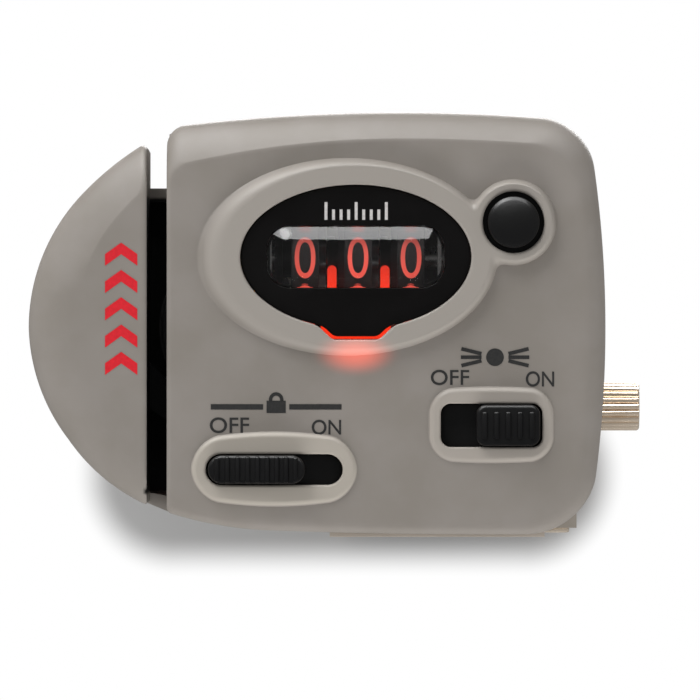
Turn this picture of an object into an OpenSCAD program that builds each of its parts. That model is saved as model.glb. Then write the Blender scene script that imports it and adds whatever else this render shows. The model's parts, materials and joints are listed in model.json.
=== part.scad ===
// Fishing line counter that clamps to a rod.
// The face looks along -Y, +X is to the right of the face and +Z is up.
// The origin lies on the axis of the rod, at the height of the clamp screw.

/* [Case] */
// Width of the main case, from the line slot to its right side
body_w = 57; // [55:0.5:60]
// Height of the main case at its middle
body_h = 54.3; // [53:0.1:57]
// Depth of the case from its face to its back
case_depth = 30.5; // [30.5:0.25:33]
// Wall of the moulded covers
wall = 1.8; // [1.6:0.05:2]
// Rounding along the front edges
edge_r = 3; // [2:0.25:3.5]
// Radius of the corners seen from the front
corner_r = 7.2; // [6:0.2:8]
// Radius of the bowed top and bottom
bow_r = 214; // [190:2:300]
// Radius of the bowed right side
side_bow_r = 150; // [130:2:300]
// Depth of the back cover
tray_depth = 6; // [6:0.1:6.5]
// How far the sloped shoulder reaches down the face
shoulder_h = 3.5; // [3:0.25:6]
// How deep the shoulder falls back at the top
shoulder_d = 4.2; // [3.6:0.2:5]
// Outer radius of the screw posts
post_r = 2.3; // [2.1:0.1:2.6]

/* [Nose and line slot] */
// Radius of the round nose
nose_r = 25.2; // [24.6:0.1:26]
// Width of the line slot
slot_w = 2.6; // [2.4:0.1:2.8]
// How far the nose reaches out beyond the slot
nose_reach = 15.45; // [15:0.05:16]
// Height of the nose middle above the lower edge of the case
nose_rise = 26.5; // [26:0.25:27]
// Depth of the open notch at the top of the slot
notch_h = 4.8; // [3:0.2:6]

/* [Display] */
// Width of the oval display plate
plate_w = 30; // [29:0.25:31]
// Height of the oval display plate
plate_h = 18.7; // [18:0.1:19.5]
// Width of the raised ring around the plate
ring_w = 2.4; // [2:0.1:3]
// Height of the ring above the face
ring_h = 1.5; // [1:0.1:2]
// Width of the clear window
window_w = 23.1; // [22.5:0.1:23.5]
// Height of the clear window
window_h = 8; // [7.4:0.1:8.4]
// How far the clear window bulges out
window_bulge = 1.9; // [1.4:0.1:2.4]

/* [Counter] */
// Radius of the number wheels
drum_r = 9.75; // [9.6:0.05:9.8]
// Width of one number wheel's rim
drum_w = 3.6; // [3.4:0.05:3.7]
// Distance from one number wheel to the next
drum_pitch = 6.89; // [6.85:0.01:7]
// Radius of the counter shaft
shaft_r = 1.5; // [1.3:0.05:1.6]
// Teeth on the worm wheel
worm_teeth = 40; // [36:2:44]

/* [Measuring wheel] */
// Radius over the tyre, a quarter of a foot round
wheel_r = 12.13; // [11.9:0.01:12.3]
// Width of the measuring wheel
wheel_w = 4; // [3.4:0.1:4.2]
// Thickness of the rubber tyre
tyre_t = 1.25; // [1:0.05:1.5]
// Radius of the pinch roller
roller_r = 4.2; // [3.8:0.05:4.4]
// Radius of the wheel axle
axle_r = 1.5; // [1.3:0.05:1.6]

/* [Line lock] */
// Length of the slider's slot
lock_slot_w = 17.8; // [17.4:0.1:18.4]
// Height of the slider's slot
lock_slot_h = 4; // [3.6:0.1:4.4]
// Travel of the slider from open to pinched
lock_travel = 4.8; // [4.4:0.1:5]
// How far the ribbed grip stands out of the face
lock_grip_h = 2.7; // [2:0.1:3.2]

/* [Light] */
// Length of the switch opening
switch_w = 13.2; // [12.8:0.1:13.6]
// Height of the switch opening
switch_h = 5.65; // [5.2:0.05:6]
// Width of the switch knob
knob_w = 8.3; // [7.8:0.1:8.6]
// Travel of the switch knob
switch_travel = 4.4; // [4:0.1:4.4]
// Radius of the coin cell
cell_r = 10; // [9.8:0.05:10]
// Thickness of the coin cell
cell_t = 3.2; // [2.5:0.1:3.2]

/* [Reset] */
// Radius of the domed reset button
button_r = 3.35; // [3:0.05:3.5]
// How far the reset button stands out of the face
button_out = 3; // [2.6:0.1:3.2]

/* [Rod clamp] */
// Radius of the rod that the clamp holds
rod_r = 6.5; // [6:0.1:7]
// Height of the clamp along the rod
clamp_h = 32; // [28:0.5:32]
// Travel of the moving jaw
jaw_travel = 3; // [2:0.25:3]
// Radius of the clamp screw
screw_r = 2; // [1.6:0.1:2.2]
// Radius of the knurled thumb knob
thumb_r = 3.2; // [2.8:0.05:3.4]

/* [Hidden] */
$fn = 48;
eps = 0.01;
slice_t = 0.1;       // thickness of a slice in a lofted form
run_fit = 0.04;      // radial clearance of a turning fit
slide_fit = 0.15;    // clearance beside a sliding piece
seat_gap = 0.1;      // clearance under a piece that slides on a face
joint_gap = 0.3;     // clearance between pieces that pass each other
cut_out = 3;         // how far a cut through the face starts in front of it

// Main planes of the case
base_t = 2;
rod_gap = 0.5;
clamp_offset = 22.75;
screw_rise = 16.05;
back_y = -(rod_r + rod_gap + base_t);
face_y = back_y - case_depth;
part_y = back_y - tray_depth;
floor_y = back_y - wall;
inner_y = face_y + wall;
case_right = clamp_offset;
slot_right = case_right - body_w;
slot_left = slot_right - slot_w;
case_low = -screw_rise;
case_top = case_low + body_h;
mid_x = case_right - body_w / 2 + 2;
nose_x = slot_left - nose_reach + nose_r;
nose_z = case_low + nose_rise;
nose_half = sqrt(pow(nose_r, 2) - pow(nose_r - nose_reach, 2));
nose_round_w = 5.4;
nose_round_d = 4.6;
slot_edge_r = 0.5;
crease_r = 113;
span = 200;

// Line path: wheel and roller share one plane behind the counter
line_x = (slot_left + slot_right) / 2;
wheel_x = line_x + wheel_r;
worm_dist = 9.1;
display_z = case_top - 18.6;
shaft_z = display_z - 0.1;
wheel_z = shaft_z - worm_dist;
carriage_t = 3.2;
carriage_back = floor_y - joint_gap;
carriage_front = carriage_back - carriage_t;
wheel_back = carriage_front - 0.2;
wheel_front = wheel_back - wheel_w;
nip = 0.1;
roller_x = line_x - nip - roller_r - lock_travel;
roller_w = wheel_w - 0.6;
bush_r = axle_r + 0.8;
bush_len = 3.3;
link_r = 2.2;
link_x = roller_x + 8.6;
link_z = wheel_z - 8.5;

// Number wheels: one shaft along X, the units at the right
display_x = slot_right + 24.6;
plate_right = display_x + plate_w / 2;
tab_w = 9.1;
tab_foot_w = 6.5;
tab_drop = 10.35;
mask_sink = 0.3;
mask_fit = 0.12;
glow_gap = 0.4;
drum_opening = 10.8;
units_x = display_x + drum_pitch + 0.3;
drum_front = face_y + 0.5;
shaft_y = drum_front + drum_r;
ring_teeth = 20;
pinion_teeth = 8;
ring_module = 0.8;
ring_gear_r = ring_teeth * ring_module / 2;
pinion_r = pinion_teeth * ring_module / 2;
mesh_slack = 0.2;
tooth_up = 0.6;
tooth_down = 1;
pinion_dist = ring_gear_r + pinion_r + mesh_slack;
pinion_back = 6.35;
pinion_y = shaft_y + pinion_back;
pinion_z = shaft_z - sqrt(pow(pinion_dist, 2) - pow(pinion_back, 2));
pinion_angle = atan2(pinion_z - shaft_z, pinion_back);
gear_w = 0.9;
carry_w = 0.8;
carry_r = pinion_dist - pinion_r - tooth_up - 0.45;
heart_w = 1;
heart_low = 2.9;
heart_high = 4.2;
hub_r = 2.5;
web_w = 1.1;
rim_t = 1.3;
gap_mid = -(drum_pitch + gear_w - carry_w) / 2;
worm_w = 3.2;
worm_wheel_r = 7;
worm_module = 2 * worm_wheel_r / worm_teeth;
worm_core_r = worm_dist - worm_wheel_r - worm_module - 0.1;
worm_len = 8;
plate_t = 0.8;
left_plate = wheel_x + worm_w / 2 + 0.4;
right_plate = units_x + drum_w / 2 + 1.7;
frame_low = shaft_z - 10.7;
frame_high = shaft_z + 15;
side_high = shaft_z + 8.45;
frame_back = wheel_front - 0.4;

// Reset: a button, a lever on a pin and one finger for each number wheel
button_share = 0.316;
button_x = plate_right + button_share * (case_right - plate_right);
button_z = display_z + 4.5;
button_hole_r = 4;
button_flange_r = 4.7;
button_flange_t = 1.2;
button_stem_r = 1.3;
stem_end = shaft_y + 5.5;
lever_y = frame_back - 2.6;
lever_z = shaft_z + 12.6;
lever_pin_r = 1;
lever_tube_r = 1.9;
lever_pad_t = 1.4;
pad_gap = 0.28;
finger_w = 1.1;
finger_tip = 6;
finger_t = 1.8;
pad_half_w = 1.5;
ear_y = shaft_y + 1.7;
ear_t = 1;
ear_half_h = 3.4;
ear_right = button_x + 2.6;

// Line lock slider
lock_x = slot_right + 14;
lock_z = case_low + 8.05;
lock_left = lock_x - lock_slot_w / 2;
grip_w = 12.6;
strip_t = 1.5;
strip_lap = 0.5;
stem_w = 6;
stem_h = 3;
stem_drop = 0.9;
rib_count = 8;
rib_r = 0.32;

// Light switch, its board and the coin cell
switch_x = case_right - 14.75;
switch_z = case_low + 13.8;
switch_corner_r = 1.3;
knob_right = switch_x + switch_w / 2 - joint_gap;
knob_left = knob_right - knob_w;
board_t = 1.2;
board_post_r = 1;
board_y = face_y + 5.5;
board_left = display_x - 3;
board_right = case_right - wall - 1.4;
board_low = case_low + 11.6;
board_high = frame_low - joint_gap;
board_post_x = [board_left + 7, board_right - 2];
board_post_z = (switch_z + switch_h / 2 + strip_lap + board_high) / 2;
led_r = 1.5;
led_z = board_high - 1.7;
holder_wall = 1.2;
wheel_gap = 0.74;
cell_x = wheel_x + wheel_r + wheel_gap + holder_wall + joint_gap + cell_r;
door_w = 2 * cell_r + 8;
door_x = cell_x;
door_low = case_low - 0.75;
door_t = 1.6;
door_front = face_y + edge_r;
door_back = back_y - 3;
door_top = door_low + door_t;
cell_z = door_top + cell_r + 0.2;
cell_back = floor_y - 3.2;
cell_front = cell_back - cell_t;
contact_t = 0.25;
contact_half = 3;
contact_reach = 6;
contact_bar = 2;
cell_gap = 0.5;
finger_gap = 3.5;
finger_half = 1.5;

// Rod clamp
cheek_t = 3.4;
pad_reach = 3;
pad_half = rod_r - 0.2;
bracket_left = -(rod_r + 3.1 + cheek_t);
bracket_right = clamp_offset - 3.1;
right_cheek_t = 5.4;
cheek_back = rod_r + 2.5;
jaw_open = rod_r + 0.4;
jaw_t = 5.4;
jaw_h = 16;
jaw_half = rod_r - 0.1;
jaw_pad_t = 0.6;
tongue_h = 4;
tongue_d = 1.2;
thumb_len = 7.5;
thumb_left = bracket_right + 1;
knurls = 20;
knurl_d = 0.4;
clip_t = 0.6;
clip_r = screw_r + 1.2;
rivet_r = 1.9;
rivet_t = 0.75;
rivet_len = 3.6;
rivet_x = bracket_right - right_cheek_t / 2;
bracket_screw_x = 10;
bracket_screw_z = [-12, 12];
case_screw_r = 1;
case_head_r = 1.9;
case_head_t = 1;
case_screw_len = 9;

// Screw posts: how far each stands in from the sides of its cover
right_post_in = 4.6;
button_post_drop = 6.2;
corner_post_in = 5;
left_post_in = 4.4;
top_post_in = 7;
low_post_in = 18.6;
low_post_rise = 2.8;
nose_post_in = 5.6;
nose_foot_in = 3.8;
case_posts = [
    [case_right - right_post_in, button_z - button_post_drop],
    [case_right - corner_post_in, case_low + corner_post_in],
    [slot_right + left_post_in, case_top - top_post_in],
    [slot_right + low_post_in, case_low + low_post_rise]
];
nose_posts = [
    [slot_left - nose_post_in, nose_z + 0.654 * nose_half],
    [slot_left - nose_foot_in, nose_z - 0.714 * nose_half]
];

grey = "#8d8a80";
black = "#1d1d1f";
steel = "#b9bcc0";
white = "#e4e2da";
rubber = "#2a2a2a";
brass = "#b89a4c";
green = "#2f6b3c";

// Plates: 2-D shapes drawn in (x, z) or (y, z) and given a thickness
module y_plate(y0, y1) {
    translate([0, y1, 0]) rotate([90, 0, 0]) linear_extrude(y1 - y0) children();
}

module x_plate(x0, x1) {
    translate([x0, 0, 0]) rotate([90, 0, 90]) linear_extrude(x1 - x0) children();
}

module y_rod(x, z, y0, y1, r) {
    y_plate(y0, y1) translate([x, z]) circle(r);
}

module x_rod(y, z, x0, x1, r) {
    x_plate(x0, x1) translate([y, z]) circle(r);
}

module block(x0, x1, y0, y1, z0, z1) {
    translate([x0, y0, z0]) cube([x1 - x0, y1 - y0, z1 - z0]);
}

module right_of(x) {
    translate([x, -span]) square([2 * span, 2 * span]);
}

module left_of(x) {
    translate([x - 2 * span, -span]) square([2 * span, 2 * span]);
}

module rounded_box(w, h, r) {
    offset(r = r) square([w - 2 * r, h - 2 * r], center = true);
}

module ellipse(a, b) {
    polygon([for (t = [0 : 5 : 355]) [a * cos(t), b * sin(t)]]);
}

// Outline of the main case in the face plane, drawn in by inset
module body_outline(inset = 0, left_inset = 0) {
    intersection() {
        right_of(slot_right + left_inset);
        offset(r = corner_r - inset) offset(delta = -corner_r) intersection() {
            translate([slot_right - 2 * corner_r, case_low])
                square([body_w + 2 * corner_r, body_h]);
            translate([mid_x, case_top - bow_r]) circle(bow_r, $fn = 240);
            translate([mid_x, case_low + bow_r]) circle(bow_r, $fn = 240);
            translate([case_right - side_bow_r, nose_z]) circle(side_bow_r, $fn = 240);
        }
    }
}

module nose_outline(inset = 0, right_inset = 0) {
    intersection() {
        left_of(slot_left - right_inset);
        translate([nose_x, nose_z]) circle(nose_r - inset, $fn = 96);
    }
}

// Strip of the back cover that joins nose and case behind the line
module bridge_outline(inset = 0) {
    low_right = case_low + pow(mid_x - slot_right, 2) / (2 * bow_r);
    high = nose_z + nose_half - notch_h - inset;
    reach = inset > 0 ? inset + eps : eps;
    polygon([
        [slot_left - reach, nose_z - nose_half + inset],
        [slot_right + reach, low_right + inset],
        [slot_right + reach, high],
        [slot_left - reach, high]
    ]);
}

module case_outline(inset = 0) {
    body_outline(inset, inset);
    nose_outline(inset, inset);
    bridge_outline(inset);
}

// Rounding and shoulder of the face at depth d behind it
function round_in(d) = d >= edge_r ? 0 : edge_r - sqrt(pow(edge_r, 2) - pow(edge_r - d, 2));
function shoulder(d) = d >= shoulder_d ? 0 : shoulder_h * pow(1 - d / shoulder_d, 2);

module face_slice(d, inset, drop) {
    y_plate(face_y + d, face_y + d + slice_t) intersection() {
        body_outline(inset, min(inset, slot_edge_r));
        translate([mid_x, case_top - inset - drop - crease_r]) circle(crease_r, $fn = 120);
    }
}

module front_form() {
    hull() {
        for (a = [0 : 30 : 90]) {
            d = edge_r * (1 - cos(a));
            face_slice(d, round_in(d), shoulder(d));
        }
        y_plate(face_y + shoulder_d, part_y) body_outline();
    }
}

module front_hollow() {
    hull() {
        y_plate(inner_y, inner_y + slice_t) intersection() {
            body_outline(wall + edge_r / 4, wall);
            translate([mid_x, case_top - wall - shoulder_h - crease_r]) circle(crease_r, $fn = 120);
        }
        y_plate(inner_y + shoulder_d, part_y + eps) body_outline(wall, wall);
    }
}

// Display plate outline: an oval with a tab below, grown by a clearance
module plate_outline(grow = 0, tab_grow = 0) {
    a = plate_w / 2 + grow;
    b = plate_h / 2 + grow;
    tab_top = tab_w / 2 + tab_grow;
    tab_foot = tab_foot_w / 2 + tab_grow;
    open_angle = asin(tab_top / a);
    steps = 64;
    translate([display_x, display_z]) polygon(concat(
        [for (i = [0 : steps])
            let (t = 270 + open_angle + i * (360 - 2 * open_angle) / steps) [a * cos(t), b * sin(t)]],
        [[-tab_foot, -tab_drop - tab_grow], [tab_foot, -tab_drop - tab_grow]]));
}

// Ring whose flank is widest at its left
module display_ring() {
    flank_w = 2.1;
    flank_h = 1.1;
    shift = 1.1;
    half_w = plate_w / 2 + ring_w;
    half_h = plate_h / 2 + ring_w;
    translate([display_x, 0, display_z]) hull() {
        y_plate(face_y - ring_h, face_y) ellipse(half_w, half_h);
        y_plate(face_y, face_y + slice_t) translate([-shift, 0])
            ellipse(half_w + flank_w, half_h + flank_h);
    }
}

// Rounded box whose top and bottom are bowed by sag
module bowed_box(w, h, r, sag) {
    bow = pow(w / 2, 2) / (2 * sag) + sag / 2;
    intersection() {
        rounded_box(w, h, r);
        translate([0, h / 2 - bow]) circle(bow, $fn = 180);
        translate([0, bow - h / 2]) circle(bow, $fn = 180);
    }
}

module raised_pad(x, z, w, h, r, sag) {
    flank = 0.75;
    rise = 0.5;
    translate([x, 0, z]) hull() {
        y_plate(face_y - rise, face_y) bowed_box(w, h, r, sag);
        y_plate(face_y, face_y + slice_t) bowed_box(w + 2 * flank, h + 2 * flank, r + flank, sag);
    }
}

module button_collar() {
    collar_r = 5.3;
    flank = 0.8;
    translate([button_x, face_y + eps, button_z]) rotate([90, 0, 0])
        cylinder(h = ring_h, r1 = collar_r + flank, r2 = collar_r);
}

module stadium(w, h) {
    square([w - h, h], center = true);
    for (s = [-1, 1]) translate([s * (w - h) / 2, 0]) circle(h / 2);
}

// Case: front cover, nose cover, back cover and battery door
module front_cover() {
    color(grey) difference() {
        union() {
            difference() {
                union() {
                    front_form();
                    display_ring();
                    button_collar();
                    raised_pad(lock_x, lock_z, lock_slot_w + 2.5, lock_slot_h + 4.3, 3.7, 1);
                    raised_pad(switch_x, switch_z, switch_w + 1.7, switch_h + 2.85, 2.5, 0.35);
                }
                front_hollow();
            }
            for (p = case_posts)
                y_rod(p[0], p[1], inner_y - eps, part_y, post_r);
            y_rod(wheel_x, wheel_z, inner_y - eps, inner_y + bush_len, bush_r + 0.7);
            for (x = board_post_x) y_rod(x, board_post_z, inner_y - eps, board_y, board_post_r);
        }
        mask_seat();
        y_plate(face_y - cut_out, inner_y + eps) translate([lock_x, lock_z])
            stadium(lock_slot_w, lock_slot_h);
        y_plate(face_y - cut_out, inner_y + eps) translate([switch_x, switch_z])
            rounded_box(switch_w, switch_h, switch_corner_r);
        y_rod(button_x, button_z, face_y - cut_out, inner_y + eps, button_hole_r);
        y_rod(wheel_x, wheel_z, inner_y, inner_y + bush_len + 1, bush_r);
        for (p = case_posts) y_rod(p[0], p[1], part_y - case_screw_len, part_y + 1, case_screw_r + run_fit);
        wheel_window();
        door_pocket();
    }
}

// Seat of the display plate, with the openings behind it
module mask_seat() {
    seat_y = face_y + mask_sink;
    y_plate(face_y - cut_out, seat_y) plate_outline(mask_fit, glow_gap);
    y_plate(seat_y - eps, inner_y + eps) translate([display_x, display_z])
        square([window_w + 1, drum_opening], center = true);
    y_plate(seat_y - eps, inner_y + eps) intersection() {
        plate_outline(0, glow_gap);
        translate([display_x - tab_w / 2 - glow_gap, display_z - plate_h])
            square([tab_w + 2 * glow_gap, plate_h]);
    }
}

module wheel_window() {
    half = sqrt(pow(wheel_r, 2) - pow(wheel_x - slot_right - wall, 2)) + 0.8;
    block(slot_right - 1, slot_right + wall + 0.2, wheel_front - 0.6, part_y + 1,
        wheel_z - half, wheel_z + half);
}

module door_pocket() {
    block(door_x - door_w / 2 - seat_gap, door_x + door_w / 2 + seat_gap, door_front - seat_gap,
        door_back + seat_gap, door_low - 1, door_top + seat_gap);
    block(cell_x - cell_r - cell_gap, cell_x + cell_r + cell_gap, cell_front - cell_gap, cell_back + cell_gap,
        door_low, cell_z);
}

module nose_form(inset, depth_in) {
    round_w = nose_round_w - inset;
    round_d = nose_round_d - inset;
    full_r = nose_r - inset;
    depth = part_y - face_y - depth_in;
    translate([nose_x, part_y, nose_z]) rotate([90, 0, 0]) rotate_extrude($fn = 96) {
        square([full_r, depth - round_d]);
        square([full_r - round_w, depth]);
        translate([full_r - round_w, depth - round_d]) scale([round_w, round_d]) circle(1);
    }
}

module nose_cover() {
    color(grey) difference() {
        union() {
            difference() {
                intersection() {
                    nose_form(0, 0);
                    y_plate(face_y - 1, part_y) left_of(slot_left);
                }
                intersection() {
                    nose_form(wall, wall);
                    y_plate(face_y, part_y + eps) left_of(slot_left - wall);
                }
                y_rod(nose_x, nose_z, part_y - eps, part_y + eps, nose_r - wall);
            }
            for (p = nose_posts) intersection() {
                y_rod(p[0], p[1], inner_y - eps, part_y, post_r);
                nose_form(eps, eps);
            }
        }
        for (p = nose_posts) y_rod(p[0], p[1], part_y - case_screw_len, part_y + 1, case_screw_r + run_fit);
        block(slot_left - wall - 0.2, slot_left + 1, wheel_front - 1.2, part_y + 1,
            wheel_z - roller_r - 0.6, wheel_z + roller_r + 0.6);
    }
}

module back_cover() {
    color(grey) difference() {
        union() {
            y_plate(floor_y, back_y) case_outline();
            difference() {
                y_plate(part_y, floor_y + eps) case_outline();
                y_plate(part_y - eps, floor_y + 2 * eps) case_outline(wall);
            }
            for (p = concat(case_posts, nose_posts)) intersection() {
                y_rod(p[0], p[1], part_y, floor_y + eps, post_r);
                y_plate(part_y, floor_y + eps) case_outline();
            }
            y_rod(wheel_x, wheel_z, wheel_back + joint_gap, floor_y + eps, bush_r + 1.1);
        }
        for (p = concat(case_posts, nose_posts)) {
            y_rod(p[0], p[1], part_y - 1, back_y + 1, case_screw_r + run_fit);
            y_rod(p[0], p[1], back_y - case_head_t, back_y + 1, case_head_r + run_fit);
        }
        y_rod(wheel_x, wheel_z, wheel_back, floor_y, bush_r);
        for (z = bracket_screw_z) y_rod(bracket_screw_x, z, floor_y - 1, back_y + 1, case_screw_r + run_fit);
        door_pocket();
    }
}

module battery_door() {
    pull_w = 9;
    color(grey) difference() {
        union() {
            block(door_x - door_w / 2, door_x + door_w / 2, door_front, door_back, door_low, door_top);
            block(cell_x - cell_r * 0.6, cell_x + cell_r * 0.6, cell_front, cell_back, door_top - eps,
                door_top + 0.1);
        }
        for (i = [0 : 3])
            translate([door_x, door_front + 4 + 1.6 * i, door_low]) rotate([0, 90, 0])
                cylinder(h = pull_w, r = 0.45, center = true);
    }
}

module cover_screws() {
    color(steel) for (p = concat(case_posts, nose_posts)) {
        y_rod(p[0], p[1], back_y - case_head_t, back_y, case_head_r);
        y_rod(p[0], p[1], part_y - case_screw_len + 1, back_y - case_head_t + eps, case_screw_r);
    }
}

// Display: black plate, clear window and light guide
module display_mask() {
    color(black) difference() {
        y_plate(face_y - 0.9, face_y + mask_sink) plate_outline();
        translate([display_x, 0, display_z])
            y_plate(face_y - 2, face_y + 1) square([window_w, window_h], center = true);
    }
}

module window_lens() {
    shell_t = 0.8;
    round_r = (pow(window_h / 2, 2) + pow(window_bulge, 2)) / (2 * window_bulge);
    base_y = face_y - 0.9;
    round_y = base_y - window_bulge + round_r;
    color("lightblue", 0.4) intersection() {
        difference() {
            x_rod(round_y, display_z, display_x - window_w / 2, display_x + window_w / 2, round_r);
            x_rod(round_y, display_z, display_x - window_w / 2 + shell_t,
                display_x + window_w / 2 - shell_t, round_r - shell_t);
        }
        block(display_x - window_w / 2 + eps, display_x + window_w / 2 - eps, base_y - 4, base_y + 0.5,
            display_z - window_h / 2 + eps, display_z + window_h / 2 - eps);
    }
}

module light_guide() {
    guide_y = face_y + 0.35;
    tab_x = [units_x + gap_mid + 0.1, units_x + gap_mid + 0.1 - drum_pitch];
    color("salmon") {
        y_plate(guide_y, guide_y + 1.7) intersection() {
            plate_outline(0, glow_gap - seat_gap);
            translate([display_x - tab_w / 2, display_z - plate_h]) square([tab_w, plate_h - 5.6]);
        }
        for (x = tab_x) y_plate(guide_y, guide_y + 0.7) {
            translate([x - 0.6, display_z - 5.7]) square([1.2, 4]);
            translate([x, display_z - 1.7]) circle(0.6);
        }
    }
}

module led() {
    color("red") {
        y_rod(display_x, led_z, board_y - 1, board_y, led_r + 0.3);
        y_rod(display_x, led_z, board_y - 2.6, board_y - 1 + eps, led_r);
    }
}

module circuit_board() {
    color(green) block(board_left, board_right, board_y, board_y + board_t, board_low, board_high);
}

module switch_body() {
    color(steel) difference() {
        block(switch_x - 5.5, switch_x + 5.5, inner_y + strip_t + joint_gap, board_y,
            switch_z - 2.6, switch_z + 2.6);
        block(switch_x - 3.5, switch_x + 3.5, inner_y, board_y - 0.8, switch_z - 0.9, switch_z + 0.9);
    }
}

module switch_knob() {
    grip_y = face_y - 2;
    base_left = knob_left - 5;
    base_right = knob_right + switch_travel + 0.2;
    color(black) difference() {
        union() {
            block(base_left, base_right, inner_y + seat_gap, inner_y + strip_t,
                switch_z - switch_h / 2 - strip_lap, switch_z + switch_h / 2 + strip_lap);
            y_plate(grip_y, inner_y + strip_t - eps) translate([knob_left + knob_w / 2, switch_z])
                rounded_box(knob_w, switch_h - 2 * slide_fit, switch_corner_r);
        }
        for (i = [0 : 4])
            translate([knob_left + 1.15 + i * 1.55, grip_y, switch_z])
                cylinder(h = switch_h + 1, r = 0.32, center = true);
    }
}

module coin_cell() {
    color(steel) {
        y_rod(cell_x, cell_z, cell_front + 0.4, cell_back, cell_r);
        y_rod(cell_x, cell_z, cell_front, cell_front + 0.4 + eps, cell_r - 1.2);
    }
}

module cell_holder() {
    side = cell_r + joint_gap;
    holder_front = cell_front - joint_gap - holder_wall;
    color(black) difference() {
        block(cell_x - side - holder_wall, cell_x + side + holder_wall, holder_front, floor_y,
            case_low + wall + 1.2, cell_z + side + holder_wall);
        block(cell_x - side, cell_x + side, cell_front - joint_gap, cell_back + joint_gap, door_low, cell_z);
        y_rod(cell_x, cell_z, cell_front - joint_gap, cell_back + joint_gap, side);
        for (p = case_posts) y_rod(p[0], p[1], holder_front - 1, floor_y + 1, post_r + seat_gap);
        y_rod(cell_x, cell_z, cell_back, floor_y - 1, side - 4);
    }
}

module cell_contacts() {
    color(brass) {
        block(cell_x - contact_half, cell_x + contact_half, cell_front - joint_gap,
            cell_front - joint_gap + contact_t, cell_z - contact_reach, cell_z + contact_reach);
        translate([cell_x, 0, cell_z]) y_plate(cell_back + joint_gap - contact_t, cell_back + joint_gap) {
            translate([-finger_gap - finger_half, contact_reach])
                square([2 * (finger_gap + finger_half), contact_bar]);
            for (s = [-1, 1]) translate([s * finger_gap - finger_half, -contact_bar])
                square([2 * finger_half, contact_reach + 2 * contact_bar]);
        }
    }
}

// Counter: frame, shaft, worm wheel, number wheels and transfer pinions
module counter_frame() {
    front_low = board_y + seat_gap;
    bar_d = 2.4;
    bar_t = 0.9;
    color(steel) difference() {
        union() {
            x_plate(left_plate, left_plate + plate_t) frame_side(front_low, frame_high);
            x_plate(right_plate, right_plate + plate_t) frame_side(front_low, side_high);
            block(left_plate, right_plate + plate_t, front_low, front_low + bar_d,
                frame_low, frame_low + bar_t);
            block(right_plate, ear_right, ear_y, ear_y + ear_t,
                button_z - ear_half_h, button_z + ear_half_h);
            block(ear_right - plate_t, ear_right, ear_y, frame_back, button_z - ear_half_h, frame_high);
        }
        x_rod(shaft_y, shaft_z, left_plate - 1, ear_right + 1, shaft_r + run_fit);
        x_rod(pinion_y, pinion_z, left_plate - 1, right_plate + 2, lever_pin_r);
        x_rod(lever_y, lever_z, left_plate - 1, ear_right + 1, lever_pin_r);
        y_rod(button_x, button_z, ear_y - 1, ear_y + 2, button_stem_r + slide_fit);
    }
}

module frame_side(front_low, high) {
    foot_low = shaft_z + 6;
    foot_high = shaft_z + 8.2;
    polygon([
        [inner_y, foot_low],
        [inner_y, foot_high],
        [inner_y + top_set(high), high],
        [frame_back, high],
        [frame_back, frame_low],
        [front_low, frame_low],
        [front_low, foot_low - 2]
    ]);
}

// A tall side starts further back, under the sloped shoulder of the case
function top_set(high) = high > shaft_z + 10 ? 5.4 : 0.6;

module counter_shaft() {
    color(steel) x_rod(shaft_y, shaft_z, wheel_x - worm_w / 2 - 0.4, right_plate + plate_t + 0.6, shaft_r);
}

function gear_points(teeth, pitch_r, up, down, share) = [
    for (i = [0 : teeth - 1], k = [0 : 3])
        let (half = 180 / teeth * share)
        let (a = i * 360 / teeth + [-1.35, -0.55, 0.55, 1.35][k] * half)
        let (r = k == 0 || k == 3 ? pitch_r - down : pitch_r + up)
        [r * cos(a), r * sin(a)]
];

module worm_wheel() {
    color(brass) difference() {
        union() {
            x_plate(wheel_x - worm_w / 2, wheel_x + worm_w / 2) translate([shaft_y, shaft_z])
                polygon(gear_points(worm_teeth, worm_wheel_r, worm_module, worm_module * 1.2, 0.45));
            x_rod(shaft_y, shaft_z, wheel_x - worm_w / 2, left_plate - 0.05, shaft_r + 1);
        }
        x_rod(shaft_y, shaft_z, wheel_x - worm_w, wheel_x + worm_w, shaft_r);
        for (s = [-1, 1]) for (a = [0 : 60 : 300])
            x_plate(wheel_x + s * worm_w / 2 - 0.9, wheel_x + s * worm_w / 2 + 0.9)
                translate([shaft_y + 4.6 * cos(a), shaft_z + 4.6 * sin(a)]) circle(1.3);
    }
}

// Heart cam: its radius grows evenly from the zero mark to the far side
module heart() {
    rotate(90) polygon([for (a = [-180 : 6 : 174])
        let (r = heart_low + (heart_high - heart_low) * abs(a) / 180)
        [r * cos(a), r * sin(a)]]);
}

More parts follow.
